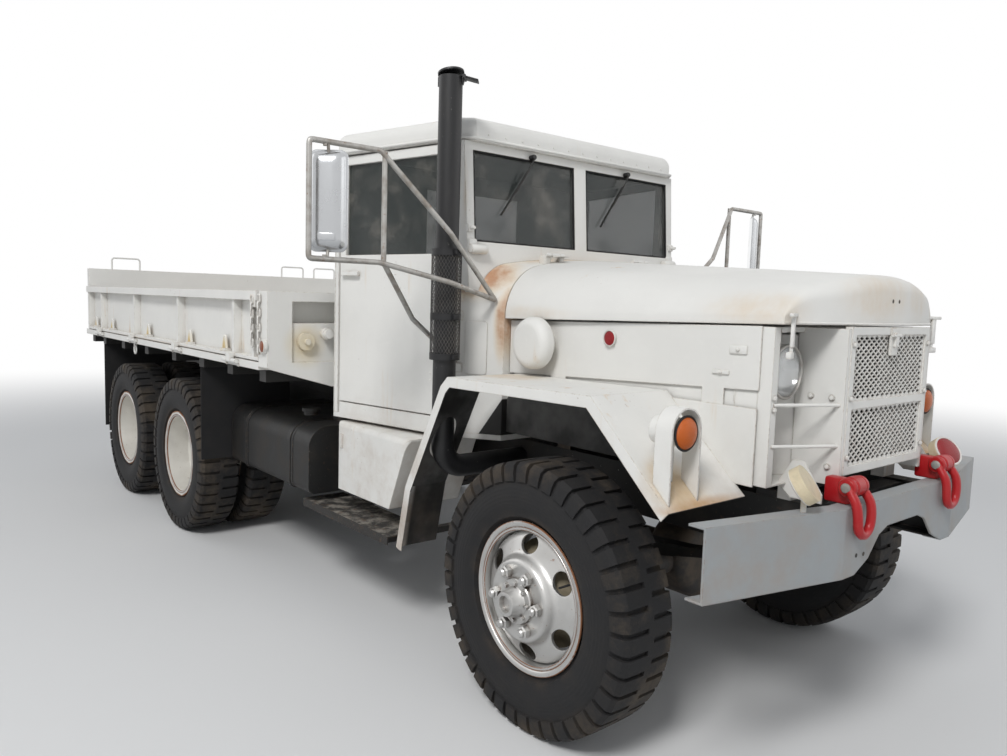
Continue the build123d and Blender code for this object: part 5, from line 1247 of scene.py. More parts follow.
class TRUCK_OT_hood(Operator):
    """The hood with its nose rolled over, its lip bead, hinges and the two small holes above the latch"""

    bl_idname = "truck.hood"
    bl_label = "Hood"

    # columns: x before the front axle, half width, lower edge, top
    REAR = (-0.614, 0.592, 1.512, 1.795)
    FRONT = (0.822, 0.552, 1.545, 1.722)
    # The bowed lip's outer ends, the height of the straight foot of the sides, the sheet's thickness
    CORNER = 0.722
    FOOT = 0.026
    WALL = 0.005
    # The rolled edge: its least radius, what it gains up the side and over what height
    ROLL = (0.006, 0.052, 0.11)
    HINGE = (-0.617, 0.300, 1.806)

    def execute(self, context):
        finished(self.skin(), hood_paint, "hood", instead=True)
        spots = [step * 0.0547 for step in range(-10, 11)]
        lip = [at(self.lip(y) - 0.002, y, self.FRONT[2] + 0.004) for y in spots]
        finished(tube("hood_lip_bead", lip, 0.0048), hood_paint, "hood")
        x, y, z = self.HINGE
        ears = []
        for side in (-1, 1):
            ears.append(rod("barrel", 0.009, -0.025, 0.025, at(x, side * y, z), (0, 1, 0), 20))
            low, high = at(x, side * y - 0.023, z - 0.009), at(x + 0.075, side * y + 0.023, z - 0.003)
            ears.append(slab("ear", low, high, 0.002))
        finished(joined(ears, "hood_hinges"), hood_paint, "hood")
        # The two holes as shallow dimples in dark iron: painted shade within the holes.
        holes = [aimed(at(self.FRONT[0] - 0.0005, y, 1.630), (1, 0, 0)) for y in (-0.024, 0.024)]
        pattern = dimple(0.006, 0.0072, 0.0006, 0.0007)
        finished(repeated(pattern, holes, "hood_front_holes"), dark_iron, "hood")
        return {"FINISHED"}

    def lip(self, y):
        """How far forward the bowed lip stands at a distance from the middle."""
        depth = self.FRONT[0] - self.CORNER
        bow = (self.FRONT[1] ** 2 + depth ** 2) / (2 * depth)
        return self.FRONT[0] - bow + math.sqrt(bow * bow - y * y)

    def section(self, half, edge, top):
        """The hood's section from its right lower edge over the top to its left one."""
        side, flat, brow = edge + self.FOOT, half - 0.190, top - 0.040
        shoulder = (half - 0.062, side + (top - 0.062 - side) * 0.74)
        right = through((-half, side), (-shoulder[0], shoulder[1]), (-flat, brow), 14)
        crown = through((-flat, brow), (0.0, top), (flat, brow), 16)
        left = [(-y, z) for y, z in reversed(right)]
        return [(-half, edge)] + right + crown[1:-1] + left + [(half, edge)]

    def skin(self):
        """The hood's sheet, drawn in rows from its rear section over the rolled nose to the lip."""
        rear = self.section(*self.REAR[1:])
        front = self.section(*self.FRONT[1:])
        half = self.FRONT[1]
        least, gain, over = self.ROLL
        rows = [[] for _ in range(11)]
        for index, ((y0, z0), (y1, z1)) in enumerate(zip(rear, front)):
            share = 1.0
            for _ in range(6):
                y = y0 + (y1 - y0) * share
                share = (self.lip(min(abs(y), half)) - self.REAR[0]) / (self.FRONT[0] - self.REAR[0])
            start = at(self.REAR[0], y0, z0)
            corner = start.lerp(at(self.FRONT[0], y1, z1), share)
            before, after = front[max(index - 1, 0)], front[min(index + 1, len(front) - 1)]
            away = Vector((0, before[1] - after[1], after[0] - before[0])).normalized()
            edge = self.REAR[2] + (self.FRONT[2] - self.REAR[2]) * share
            height = max(0.0, corner.z - edge - self.FOOT)
            radius = least + gain * min(1.0, height / over)
            ahead = Vector((1.0, corner.y / 1.4, 0)).normalized()
            middle = corner - ahead * radius - away * radius
            for row, part in enumerate((0.0, 0.35, 0.7)):
                rows[row].append(start.lerp(corner, part * 0.97))
            for row in range(7):
                turn = math.pi / 2 * row / 6
                rows[3 + row].append(middle + (ahead * math.sin(turn) + away * math.cos(turn)) * radius)
            foot = rows[9][-1].copy()
            foot.x, foot.z = AXLE.x + self.lip(min(abs(foot.y), half)), min(edge, foot.z)
            rows[10].append(foot)
        piece = wire("hood_rolled", rows[0])
        with editing(piece):
            for row in rows[1:]:
                bpy.ops.mesh.extrude_region_move()
                form = bmesh.from_edit_mesh(piece.data)
                fresh = [vertex for vertex in form.verts if vertex.select]
                fresh.sort(key=lambda vertex: vertex.index)
                for vertex, place in zip(fresh, row):
                    vertex.co = place
                bmesh.update_edit_mesh(piece.data)
        outward(piece)
        if max(piece.data.polygons, key=lambda face: face.center.z).normal.z < 0:
            piece.data.flip_normals()
        applied(piece, "SOLIDIFY", thickness=self.WALL, offset=-1.0)
        smooth(piece, 50)
        return piece


class TRUCK_OT_lamps(Operator):
    """Headlights, turn signals, marker lamps, side and tail lamps"""

    bl_idname = "truck.lamps"
    bl_label = "Lamps"

    HEADLIGHT = (0.680, 0.448, 1.384)
    SIGNAL = (0.600, 0.868, 1.200)
    REFLECTOR = (-0.010, 0.566, 1.458)
    SIDE_LAMP = (-1.750, 1.233, 1.322)
    # columns: radius, distance forwards
    DISH = ((0.088, 0.0), (0.084, -0.012), (0.070, -0.034), (0.045, -0.052), (0.018, -0.060), (0.0, -0.061))
    GLASS = (
        (0.0, 0.020), (0.03, 0.0185), (0.058, 0.013), (0.078, 0.005), (0.086, -0.001), (0.084, -0.004),
        (0.058, 0.009), (0.03, 0.0145), (0.0, 0.016),
    )
    RIM = ((0.083, -0.004), (0.092, -0.004), (0.094, 0.002), (0.091, 0.007), (0.086, 0.007), (0.083, 0.003))
    BULB = (
        (0.006, -0.058), (0.006, -0.036), (0.010, -0.030), (0.010, -0.020), (0.004, -0.014), (0.0, -0.013),
    )

    def execute(self, context):
        self.headlights()
        self.housings()
        self.lenses()
        return {"FINISHED"}

    def headlights(self):
        x, reach, z = self.HEADLIGHT

        def on_front(point, normal):
            return normal.x > 0.9 and abs(point.x - AXLE.x - x) < 0.002

        shells = merged_copy("headlights", "headlight_shells")
        with faces_where(shells, on_front):
            bpy.ops.mesh.delete(type="FACE")
        smooth(shells, 40)
        finished(shells, white_paint, "headlights", WHITE, instead=True)
        # columns: name, section, steps, closed, finish, slot
        rows = (
            ("bowl", self.DISH, 40, False, reflector, None),
            ("glass", self.GLASS, 40, False, headlight_glass, None),
            ("bulb", self.BULB, 16, False, headlight_glass, None),
            ("rim", self.RIM, 40, True, bare_steel, "bare_steel"),
        )
        for side_name, side in SIDES:
            place = at(x, side * reach, z)
            for name, section, steps, closed, coating, slot in rows:
                piece = turned(f"headlight_{name}_{side_name}", section, place, (1, 0, 0), steps, closed)
                finished(piece, coating, "headlights", slot)

    def housings(self):
        """The lamps' white guards, black tail housings and cream marker discs, cut from the CAD lamps."""
        whole = merged_copy("signal_lamps", "lamp_guards")
        smooth(whole, 40)
        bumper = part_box("front_bumper")[1].z + 0.03

        def on_marker(spot, _):
            return spot.x > AXLE.x + 0.7 and spot.z > bumper

        # columns: name, region, finish, slot
        rows = (
            ("tail_lamp_housings", lambda spot, _: spot.x < AXLE.x - 3.0, black_paint, "black_paint"),
            ("marker_discs", on_marker, cream_lens, "lamp_lens"),
            ("side_lamp_rings", lambda spot, _: spot.x < AXLE.x - 1.5, white_paint, WHITE),
        )
        for name, region, coating, slot in rows:
            finished(split_off(whole, name, region), coating, "signal_lamps", slot, instead=True)
        finished(whole, white_paint, "signal_lamps", WHITE, instead=True)

    def lenses(self):
        """Domed lenses with their rims."""
        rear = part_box("bed_floor")[0].x - 0.020
        # columns: name, place, direction, radius, rise, finish
        rows = []
        for name, side in SIDES:
            out = (0, side, 0)
            signal, disc, lamp = (
                at(x, side * reach, z) for x, reach, z in (self.SIGNAL, self.REFLECTOR, self.SIDE_LAMP)
            )
            rows += [
                (f"turn_lens_{name}", signal, (1, 0, 0), 0.052, 0.022, amber_lens),
                (f"side_reflector_{name}", disc, out, 0.029, 0.007, red_lens),
                (f"side_lamp_{name}", lamp, out, 0.030, 0.009, rust_lens),
            ]
            for share in (91, 99):
                tail = Vector((rear, side * share / 100, 1.09))
                rows.append((f"tail_lens_{name}_{share}", tail, (-1, 0, 0), 0.030, 0.010, red_lens))
        lean = math.radians(55)
        # columns: name, x, y, turn, side of the disc that the lens is on
        for name, x, y, turn, way in (("near", 0.842, -0.575, 20, -1), ("far", 0.850, 0.460, -20, 1)):
            turn = math.radians(turn)
            axis = Vector((math.sin(lean) * math.cos(turn), math.sin(lean) * math.sin(turn), math.cos(lean)))
            axis *= way
            rows.append((f"marker_lens_{name}", at(x, y, 1.048) + axis * 0.017, axis, 0.055, 0.016, red_lens))
        for name, place, direction, radius, rise, coating in rows:
            # columns: shares of the radius and of the rise
            dome = ((0.0, 1.0), (0.35, 0.95), (0.68, 0.74), (0.9, 0.4), (1.0, 0.0))
            dome = [(radius * out, rise * up) for out, up in dome] + [(radius * 0.8, -0.001), (0.0, -0.001)]
            finished(turned(name, dome, place, direction, 32), coating, "signal_lamps")
            rim = radius * 1.09
            ring = [(radius * 0.95, -0.001), (rim, -0.001), (rim + 0.001, 0.003)]
            ring += [(rim - 0.002, 0.006), (radius * 0.97, 0.004)]
            trim = turned(name + "_rim", ring, place, direction, 32, closed=True)
            finished(trim, black_rubber if "turn" in name else white_paint, "signal_lamps", WHITE)


class TRUCK_OT_stack(Operator):
    """The exhaust stack with its expanded-metal heat shield and clamps"""

    bl_idname = "truck.stack"
    bl_label = "Exhaust stack"

    PLACE = (-0.710, -0.850)
    SHIELD = (1.330, 1.800)
    PIPE_RADIUS = 0.050
    SHIELD_RADIUS = 0.0645
    # The mesh: diamonds round the sleeve, diamonds up it and the strand's thickness
    AROUND = 28
    ROWS = 18
    STRAND = 0.0027

    def execute(self, context):
        x, y = self.PLACE
        low, high = self.SHIELD
        middle = at(x, y, 0)
        pipe = merged_copy("exhaust_stack", "exhaust_pipe")

        def sleeve(point, normal):
            away = math.hypot(point.x - middle.x, point.y - middle.y)
            return low - 0.001 < point.z < high + 0.001 and away > self.PIPE_RADIUS + 0.002

        with faces_where(pipe, sleeve):
            bpy.ops.mesh.delete(type="FACE")
        wall = [(self.PIPE_RADIUS, low - 0.004), (self.PIPE_RADIUS, high + 0.004)]
        core = turned("core", wall, middle, (0, 0, 1), 40)
        pipe = joined([pipe, core], "exhaust_pipe")
        smooth(pipe, 40)
        finished(pipe, stack_paint, "exhaust_stack", instead=True)
        finished(self.shield(middle, low, high), drab_mesh, "exhaust_stack")
        self.counterweight(middle)
        clamps = []
        for z in (low - 0.002, low + 0.170, high - 0.026):
            band = [(0.060, z), (0.0665, z), (0.0670, z + 0.028), (0.060, z + 0.028)]
            clamps.append(turned("band", band, middle, (0, 0, 1), 40, closed=True))
            near, far = middle.x + 0.060, middle.x + 0.084
            clamps.append(slab("lug", (near, y - 0.014, z + 0.004), (far, y + 0.014, z + 0.024)))
        finished(joined(clamps, "heat_shield_bands"), stack_paint, "exhaust_stack")
        return {"FINISHED"}

    def counterweight(self, middle):
        """The rain flap's hinge and the plate that weighs against it."""
        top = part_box("exhaust_stack")[1].z
        plate = slab("plate", (0.052, -0.030, -0.003), (0.120, 0.030, 0.003), 0.001)
        barrel = rod("barrel", 0.008, -0.034, 0.034, (0.060, 0, 0), (0, 1, 0), 16)
        stay = slab("stay", (0.040, -0.012, -0.030), (0.062, 0.012, 0.002), 0.002)
        piece = joined([plate, barrel, stay], "rain_flap_weight")
        turn = Matrix.Rotation(math.radians(48), 4, "Z") @ Matrix.Rotation(math.radians(14), 4, "Y")
        placed(piece, Matrix.Translation((middle.x, middle.y, top - 0.018)) @ turn)
        finished(piece, stack_paint, "exhaust_stack")

    def shield(self, middle, low, high):
        """A sleeve of diamond mesh: each face of a rolled grid is poked, and the grid's own edges go."""
        step = (high - low) / self.ROWS
        deselect()
        bpy.ops.mesh.primitive_cylinder_add(
            vertices=self.AROUND,
            radius=self.SHIELD_RADIUS,
            depth=step,
            end_fill_type="NOTHING",
            location=(middle.x, middle.y, low + step / 2),
        )
        sleeve = bpy.context.object
        sleeve.name = "heat_shield_mesh"
        placed(sleeve)
        for index in range(1, self.ROWS):
            top = low + index * step - 0.001
            with selecting(sleeve, "EDGE", lambda edge: min(corner.co.z for corner in edge.verts) > top):
                bpy.ops.mesh.extrude_region_move(TRANSFORM_OT_translate={"value": (0, 0, step)})
        corners = len(sleeve.data.vertices)
        with editing(sleeve):
            bpy.ops.mesh.poke()

        def of_grid(edge):
            return len(edge.link_faces) == 2 and all(corner.index < corners for corner in edge.verts)

        with selecting(sleeve, "EDGE", of_grid):
            bpy.ops.mesh.dissolve_edges(use_verts=False)
        applied(sleeve, "WIREFRAME", thickness=self.STRAND, use_even_offset=False, use_boundary=True)
        return sleeve


class TRUCK_OT_cab(Operator):
    """Window seals, wipers, hinges and the roof's rain gutter"""

    bl_idname = "truck.cab"
    bl_label = "Cab fittings"

    # The windshield: its foot, how far back and how high its frame runs, each pane's edges, the wipers
    FOOT = (-0.745, 1.805)
    RAKE = 0.036
    HEIGHT = 0.483
    PANE = (0.041, 0.672, 0.046, 0.450)
    WIPER = 0.330

    def execute(self, context):
        self.seals()
        self.wipers()
        self.gutter()
        self.door_fittings()
        self.cowl_covers()
        self.screen_clamps()
        return {"FINISHED"}

    def cowl_covers(self):
        """The rounded access cover on each side of the cowl."""
        covers = []
        for _, side in SIDES:
            cover = leaf(0.106, 0.242, 0.016)
            applied(cover, "SOLIDIFY", thickness=0.005, offset=1.0)
            bevelled(cover, 0.0018, 50)
            placed(cover, facing_matrix(at(-0.7265, side * 0.6655, 1.3745), (0.57, side * 0.82, 0)))
            smooth(cover, 40)
            covers.append(cover)
        finished(joined(covers, "cowl_covers"), cowl_paint, "cowl")

    def screen_clamps(self):
        """The cast clamps that hold the windshield's feet, with their wing bolts."""
        half = [(0.0, -0.045), (0.017, -0.045), (0.021, -0.040)]
        barrel = half + [(radius, -along) for radius, along in reversed(half)]
        bolt = [(0.0, 0.0), (0.008, 0.0), (0.008, 0.022), (0.006, 0.026), (0.0, 0.026)]
        clamps = []
        for _, side in SIDES:
            y = side * 0.688
            clamps.append(slab("foot", at(-0.775, y - 0.024, 1.800), at(-0.735, y + 0.024, 1.862), 0.010))
            clamps.append(turned("barrel", barrel, at(-0.728, side * 0.665, 1.815), (0, 1, 0), 20))
            y = side * 0.700
            clamps.append(slab("upper", at(-0.760, y - 0.016, 1.890), at(-0.738, y + 0.016, 1.925), 0.006))
            clamps.append(turned("bolt", bolt, at(-0.738, y, 1.907), (1, 0, 0), 12))
        finished(joined(clamps, "windshield_clamps"), cowl_paint, "windshield_frame")

    def on_screen(self, across, up, out=0.0):
        """A point on the windshield: across to the left, up the pane, and out from its face."""
        share = up / math.hypot(self.RAKE, self.HEIGHT)
        x, z = self.FOOT[0] - self.RAKE * share, self.FOOT[1] + self.HEIGHT * share
        normal = Vector((self.HEIGHT, 0, self.RAKE)).normalized()
        return at(x, across, z) + normal * out

    def seals(self):
        """The grey rubber strip round each pane."""
        inner, outer, low, high = self.PANE
        inset = 0.004
        left, right, foot, head = inner + inset, outer - inset, low + inset, high - inset
        corners = ((left, foot), (right, foot), (right, head), (left, head))
        bands = []
        for _, side in SIDES:
            points = [self.on_screen(side * across, up, -0.004) for across, up in corners]
            bands.append(tube("seal", points, 0.006, closed=True))
        finished(joined(bands, "windshield_seals"), black_rubber, "windshield_frame", "black_rubber")

    def wipers(self):
        """An arm from the top of each pane to its blade, which lies aslant on the glass."""
        section = [(0.0, 0.030), (0.010, 0.030), (0.013, 0.024), (0.013, 0.0), (0.0, 0.0)]
        arms, rubbers = [], []
        for side in (-1, 1):
            across = side * self.WIPER
            arms.append(turned("hub", section, self.on_screen(across, 0.458, 0.004), (1, 0, 0.07), 16))
            elbow = self.on_screen(across, 0.450, 0.030)
            across -= 0.105
            blade = self.on_screen(across, 0.285, 0.012)
            bend = (elbow + blade) / 2 + Vector((0.010, 0, 0))
            arms.append(tube("arm", [elbow, bend, blade], 0.0035, flowing=True))
            low, high = (self.on_screen(across + way * 0.085, 0.285 + way * 0.110, 0.003) for way in (-1, 1))
            arms.append(tube("holder", [end + Vector((0.006, 0, 0)) for end in (low, high)], 0.0032))
            rubbers.append(tube("blade", [low, high], 0.0042))
        finished(joined(arms, "wiper_arms"), black_paint, "windshield_frame", "black_paint")
        finished(joined(rubbers, "wiper_blades"), black_rubber, "windshield_frame", "black_rubber")

    def gutter(self):
        """A half-round bead along the roof's lower edge, and the row of rivets above the windshield."""
        low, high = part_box("cab_roof")
        z = low.z + 0.012
        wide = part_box("windshield_frame")[1].y + 0.012
        half = [(high.x, wide - 0.056, z), (high.x - 0.06, wide, z), (low.x + 0.06, high.y, z)]
        points = [(low.x + 0.06, low.y, z), *((x, -y, z) for x, y, z in (half[1], half[0])), *half]
        finished(tube("roof_gutter", points, 0.007), white_paint, "cab_roof")
        places = [aimed((high.x, y / 1000, z + 0.022), (1, 0, 0)) for y in range(-600, 601, 100)]
        finished(repeated(button_head(0.0055), places, "roof_rivets"), white_paint, "cab_roof")

    def door_fittings(self):
        """The screws of the door hinges."""
        for name, side in SIDES:
            low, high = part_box(f"door_{name}")
            x, y = high.x - 0.028, (low.y if side < 0 else high.y) - side * 0.065
            heights = [hinge + rise for hinge in (1.240, 1.560) for rise in (-0.016, 0.016)]
            places = [aimed((x, y, z), (0.12, side, 0)) for z in heights]
            screws = repeated(button_head(0.006), places, f"door_hinge_screws_{name}")
            finished(screws, white_paint, f"door_{name}")


class TRUCK_OT_nose(Operator):
    """The lamp bays' linings, latches, clamps and bolts of the nose"""

    bl_idname = "truck.nose"
    bl_label = "Nose fittings"

    def execute(self, context):
        self.linings()
        self.aprons()
        self.latches()
        self.bolts()
        self.catches()
        self.bumper_holes()
        return {"FINISHED"}

    def catches(self):
        """The cast catch at each front corner of the hood: a hooked head, its bar and the rod below."""
        pieces = []
        for _, side in SIDES:
            head = slab("head", (-0.034, -0.006, -0.006), (0.034, 0.010, 0.006), 0.003)
            bar = slab("bar", (-0.010, -0.004, -0.104), (0.010, 0.008, 0.0), 0.003)
            foot = slab("foot", (-0.022, -0.012, -0.140), (0.022, 0.006, -0.118), 0.004)
            stem = rod("rod", 0.0055, -0.135, -0.090, *NOWHERE, 12)
            piece = joined([head, bar, foot, stem], "catch")
            y, degrees = (0.520, 250) if side > 0 else (-0.535, -70)
            turn = Matrix.Rotation(math.radians(degrees), 4, "Z")
            placed(piece, Matrix.Translation(at(0.742, y, 1.574)) @ turn)
            pieces.append(piece)
        finished(joined(pieces, "hood_catches"), white_paint, "nose_frame")

    def bumper_holes(self):
        """The bare holes in the bumper's face, as dark dimples: their dark iron paints the shade within the
        holes.
        """
        spots = ((-0.300, 0.852), (-0.285, 0.792), (-0.335, 0.796))
        places = [aimed(at(0.9052, y, z), (1, 0, 0)) for y, z in spots]
        pattern = dimple(0.0055, 0.0075, 0.0008, 0.0010)
        finished(repeated(pattern, places, "bumper_holes"), dark_iron, "front_bumper")

    def linings(self):
        """The sheet that closes each lamp bay towards the radiator."""
        pieces = []
        for _, side in SIDES:
            rear, front = at(0.556, side * 0.420, 1.010), at(0.643, side * 0.303, 1.505)
            deselect()
            bpy.ops.mesh.primitive_plane_add(size=1.0, location=(0, 0, 0))
            sheet = bpy.context.object
            corners = [(end.x, end.y, height) for height in (rear.z, front.z) for end in (rear, front)]
            for vertex, corner in zip(sheet.data.vertices, corners):
                vertex.co = corner
            applied(sheet, "SOLIDIFY", thickness=0.004)
            applied(sheet, "BEVEL", width=0.001, segments=1)
            pieces.append(sheet)
        finished(joined(pieces, "lamp_bay_linings"), white_paint, "nose_frame")

    def aprons(self):
        """The white sheet behind the gap between each side panel and the fender."""
        sheets = []
        for _, side in SIDES:
            inner, outer = sorted((side * 0.5440, side * 0.5485))
            sheets.append(slab("apron", at(-0.590, inner, 1.215), at(0.640, outer, 1.345), 0.001))
        finished(joined(sheets, "fender_aprons"), white_paint, "nose_frame")

    def latches(self):
        """The latch plates near the front of each hood side panel."""
        stud = [(0.007, 0), (0.007, 0.004), (0.004, 0.007), (0.0, 0.007)]
        pieces = []
        for _, side in SIDES:
            low, high = sorted((side * 0.557, side * 0.563))
            for x, z, tall in ((0.565, 1.452, 0.030), (0.500, 1.372, 0.016), (-0.540, 1.395, 0.030)):
                corners = at(x - 0.034, low, z - tall / 2), at(x + 0.034, high, z + tall / 2)
                pieces.append(slab("plate", *corners, 0.0025))
                pieces.append(turned("stud", stud, at(x, side * 0.563, z), (0, side, 0), 12))
        finished(joined(pieces, "side_panel_latches"), white_paint, "hood_side_panels")

    def bolts(self):
        """The bolts on the corner posts, the stays and the gussets."""
        # columns: x, distance from the middle, heights
        post, face = (0.692, 0.534, (1.300, 1.262)), (0.822, 0.284, (1.100, 1.300, 1.480))
        stay, gusset = (0.775, 0.315, (1.300, 1.065)), (0.700, 0.315, (1.300,))
        inner = (0.735, 0.431, (1.045,))
        places = []
        for _, side in SIDES:
            ahead, out = (1, 0, 0), (0, side, 0)
            rows = ((post, ahead), (stay, out), (gusset, out), (inner, out), (face, ahead))
            for (x, y, heights), direction in rows:
                places += [aimed(at(x, side * y, z), direction) for z in heights]
        finished(repeated(hex_head(0.0085), places, "nose_bolts"), white_paint, "nose_frame")


class TRUCK_OT_mirrors(Operator):
    """The mirrors: tube frames, polished cases and the glass that faces the driver"""

    bl_idname = "truck.mirrors"
    bl_label = "Mirrors"

    HEAD = (-0.708, 1.432, 1.948)
    ARMS = (1.728, 2.168)
    POST = -0.700

    def execute(self, context):
        frames = merged_copy("mirrors", "mirror_frames")
        smooth(frames, 40)
        heads = [at(self.HEAD[0], side * self.HEAD[1], self.HEAD[2]) for _, side in SIDES]

        def on_case(point, normal):
            away = [point - head for head in heads]
            return any(math.hypot(gap.x, gap.y) < 0.105 and abs(gap.z) < 0.2035 for gap in away)

        bpy.data.objects.remove(split_off(frames, "plain_cases", on_case))
        cases, panes, loops = [], [], [frames]
        for _, side in SIDES:
            loops.append(self.loop(side))
            for arm, case in ((self.ARMS[1] - 0.004, 2.130), (self.ARMS[0] + 0.004, 1.766)):
                ends = [at(self.POST, side * 1.420, arm), at(self.POST - 0.006, side * 1.414, case)]
                loops.append(tube("stud", ends, 0.0065))
            turn = math.radians(140 if side < 0 else 220)
            place = at(self.HEAD[0], side * (self.HEAD[1] - 0.020), self.HEAD[2])
            head = facing_matrix(place, (math.cos(turn), math.sin(turn), 0))
            cases += self.case(head)
            pane = leaf(0.140, 0.372, 0.024)
            placed(pane, head @ Matrix.Translation((0, 0, 0.0012)))
            applied(pane, "SOLIDIFY", thickness=0.001, offset=1.0)
            panes.append(pane)
        finished(joined(loops, "mirror_frames"), bare_steel, "mirrors", instead=True)
        finished(joined(cases, "mirror_cases"), mirror_case, "mirrors", instead=True)
        finished(joined(panes, "mirror_panes"), mirror_glass, "mirrors")
        return {"FINISHED"}

    def loop(self, side):
        """The tube that joins the two arms round the outside of the mirror."""
        inner, outer = 1.424, 1.4975
        points = []
        for z, way in ((self.ARMS[1], -1), (self.ARMS[0], 1)):
            run = [(inner, z), (outer - 0.036, z), (outer - 0.008, z)]
            run += [(outer, z + way * 0.008), (outer, z + way * 0.036)]
            points += run if way < 0 else reversed(run)
        return tube("loop", [at(self.POST, side * y, z) for y, z in points], 0.0113, flowing=True)

    def case(self, head):
        """The stamped back: a flat rim, then a dome that turns away from the driver, with its blank plate."""
        width, height, depth = 0.150, 0.385, 0.0
        back = leaf(width, height, 0.030)
        # columns: step inwards, step back
        steps = [(0.004, 0.005), (0.004, 0.0005), (0.003, 0.006), (0.005, 0.009)]
        steps += [(0.008, 0.008), (0.012, 0.006), (0.016, 0.003)]
        with editing(back):
            bpy.ops.mesh.flip_normals()
            for inset, rise in steps:
                depth += rise
                share = (1 - 2 * inset / width, 1 - 2 * inset / height, 1.0)
                width, height = width - 2 * inset, height - 2 * inset
                bpy.ops.mesh.extrude_region_move(TRANSFORM_OT_translate={"value": (0, 0, -rise)})
                bpy.ops.transform.resize(value=share, center_override=(0, 0, -depth))
        plate = slab("plate", (-0.034, -0.150, -0.0405), (0.034, -0.122, -0.030), 0.002)
        for part in (back, plate):
            placed(part, head)
        smooth(back, 60)
        return [back, plate]


class TRUCK_OT_shackles(Operator):
    """The forged tow shackles: hanger, knuckle, ears, pin and the hanging ring"""

    bl_idname = "truck.shackles"
    bl_label = "Tow shackles"

    PIN = (0.885, 0.345, 1.024)
    FRONT = 0.929

    def execute(self, context):
        x, reach, z = self.PIN
        half = [(0.0, -0.027), (0.028, -0.027), (0.033, -0.022)]
        knuckle = half + [(radius, -along) for radius, along in reversed(half)]
        ear = [(0.0, 0.028), (0.026, 0.028), (0.031, 0.033), (0.031, 0.044), (0.027, 0.050), (0.0, 0.051)]
        head = [(0.0, 0.050), (0.0155, 0.050), (0.0165, 0.054), (0.0135, 0.060)]
        head += [(0.005, 0.062), (0.0, 0.0615)]
        # columns: x, distance across, drop below the pin
        arm = [(x, 0.041, -0.004), (x + 0.018, 0.044, 0.022), (self.FRONT - 0.006, 0.047, 0.050)]
        arm += [(self.FRONT, 0.046, 0.090), (self.FRONT, 0.040, 0.130), (self.FRONT, 0.016, 0.152)]
        irons, bolts = [], []
        for _, side in SIDES:
            y = side * reach
            pin = at(x, y, z)
            low, high = at(x - 0.090, y - 0.024, 0.962), at(x - 0.004, y + 0.024, z + 0.022)
            irons.append(slab("hanger", low, high, 0.009))
            irons.append(turned("knuckle", knuckle, pin, (0, 1, 0), 28))
            points = [at(a, y - b, z - c) for a, b, c in arm]
            points += [at(a, y + b, z - c) for a, b, c in reversed(arm)]
            irons.append(tube("ring", points, 0.0158, flowing=True))
            for way in (-1, 1):
                irons.append(turned("ear", ear, pin, (0, way, 0), 28))
                bolts.append(turned("pin", head, pin, (0, way, 0), 24))
        finished(joined(irons, "forged_shackles"), red_paint, "tow_shackles", instead=True)
        finished(joined(bolts, "shackle_pins"), bare_steel, "tow_shackles", "bare_steel")
        return {"FINISHED"}


class TRUCK_OT_seats(Operator):
    """The crowned seat cushions, swollen by a cloth simulation"""

    bl_idname = "truck.seats"
    bl_label = "Seat cushions"

    ACROSS = (0.400, 0.230)
    # columns: name, x range, height range
    PADS = (
        ("seat_pad", (-1.494, -1.066), (1.2405, 1.340)),
        ("back_pad", (-1.588, -1.508), (1.252, 1.792)),
    )
    GAP = 0.010
    VOXEL = 0.006
    # The simulation: the most that a point may move, the air's pressure and the frames
    SWELL = 0.012
    PRESSURE = 4.0
    FRAMES = 20

    def execute(self, context):
        for name, (rear, front), (low, high) in self.PADS:
            half = self.ACROSS[1] - self.GAP
            pad = slab(name, at(rear, -half, low), at(front, half, high), 0.022)
            applied(pad, "REMESH", mode="VOXEL", voxel_size=self.VOXEL)
            self.swell(context, pad, at(rear, 0, low))
            applied(pad, "SUBSURF", levels=1, render_levels=1)
            for side_name, side in SIDES:
                copy = copied(pad, Matrix.Translation((0, side * self.ACROSS[0], 0)))
                copy.name = f"{name}_{side_name}"
                copy.data.shade_smooth()
                finished(copy, seat_canvas, "seat_cushions", instead=True)
            bpy.data.objects.remove(pad)
        return {"FINISHED"}

    def swell(self, context, pad, corner):
        """Blows the pad up as cloth, then holds each point within its reach and off what carries the pad."""
        start = [vertex.co.copy() for vertex in pad.data.vertices]
        modifier = pad.modifiers.new("cloth", "CLOTH")
        modifier.settings.use_pressure = True
        modifier.settings.uniform_pressure_force = self.PRESSURE
        modifier.settings.effector_weights.gravity = 0.0
        for step in range(1, self.FRAMES + 1):
            context.scene.frame_set(step)
        make_active(pad)
        bpy.ops.object.modifier_apply(modifier=modifier.name)
        context.scene.frame_set(1)
        for vertex, place in zip(pad.data.vertices, start):
            move = vertex.co - place
            if move.length > self.SWELL:
                move *= self.SWELL / move.length
            vertex.co = place + move
            vertex.co.x = max(vertex.co.x, corner.x)
            vertex.co.z = max(vertex.co.z, corner.z)


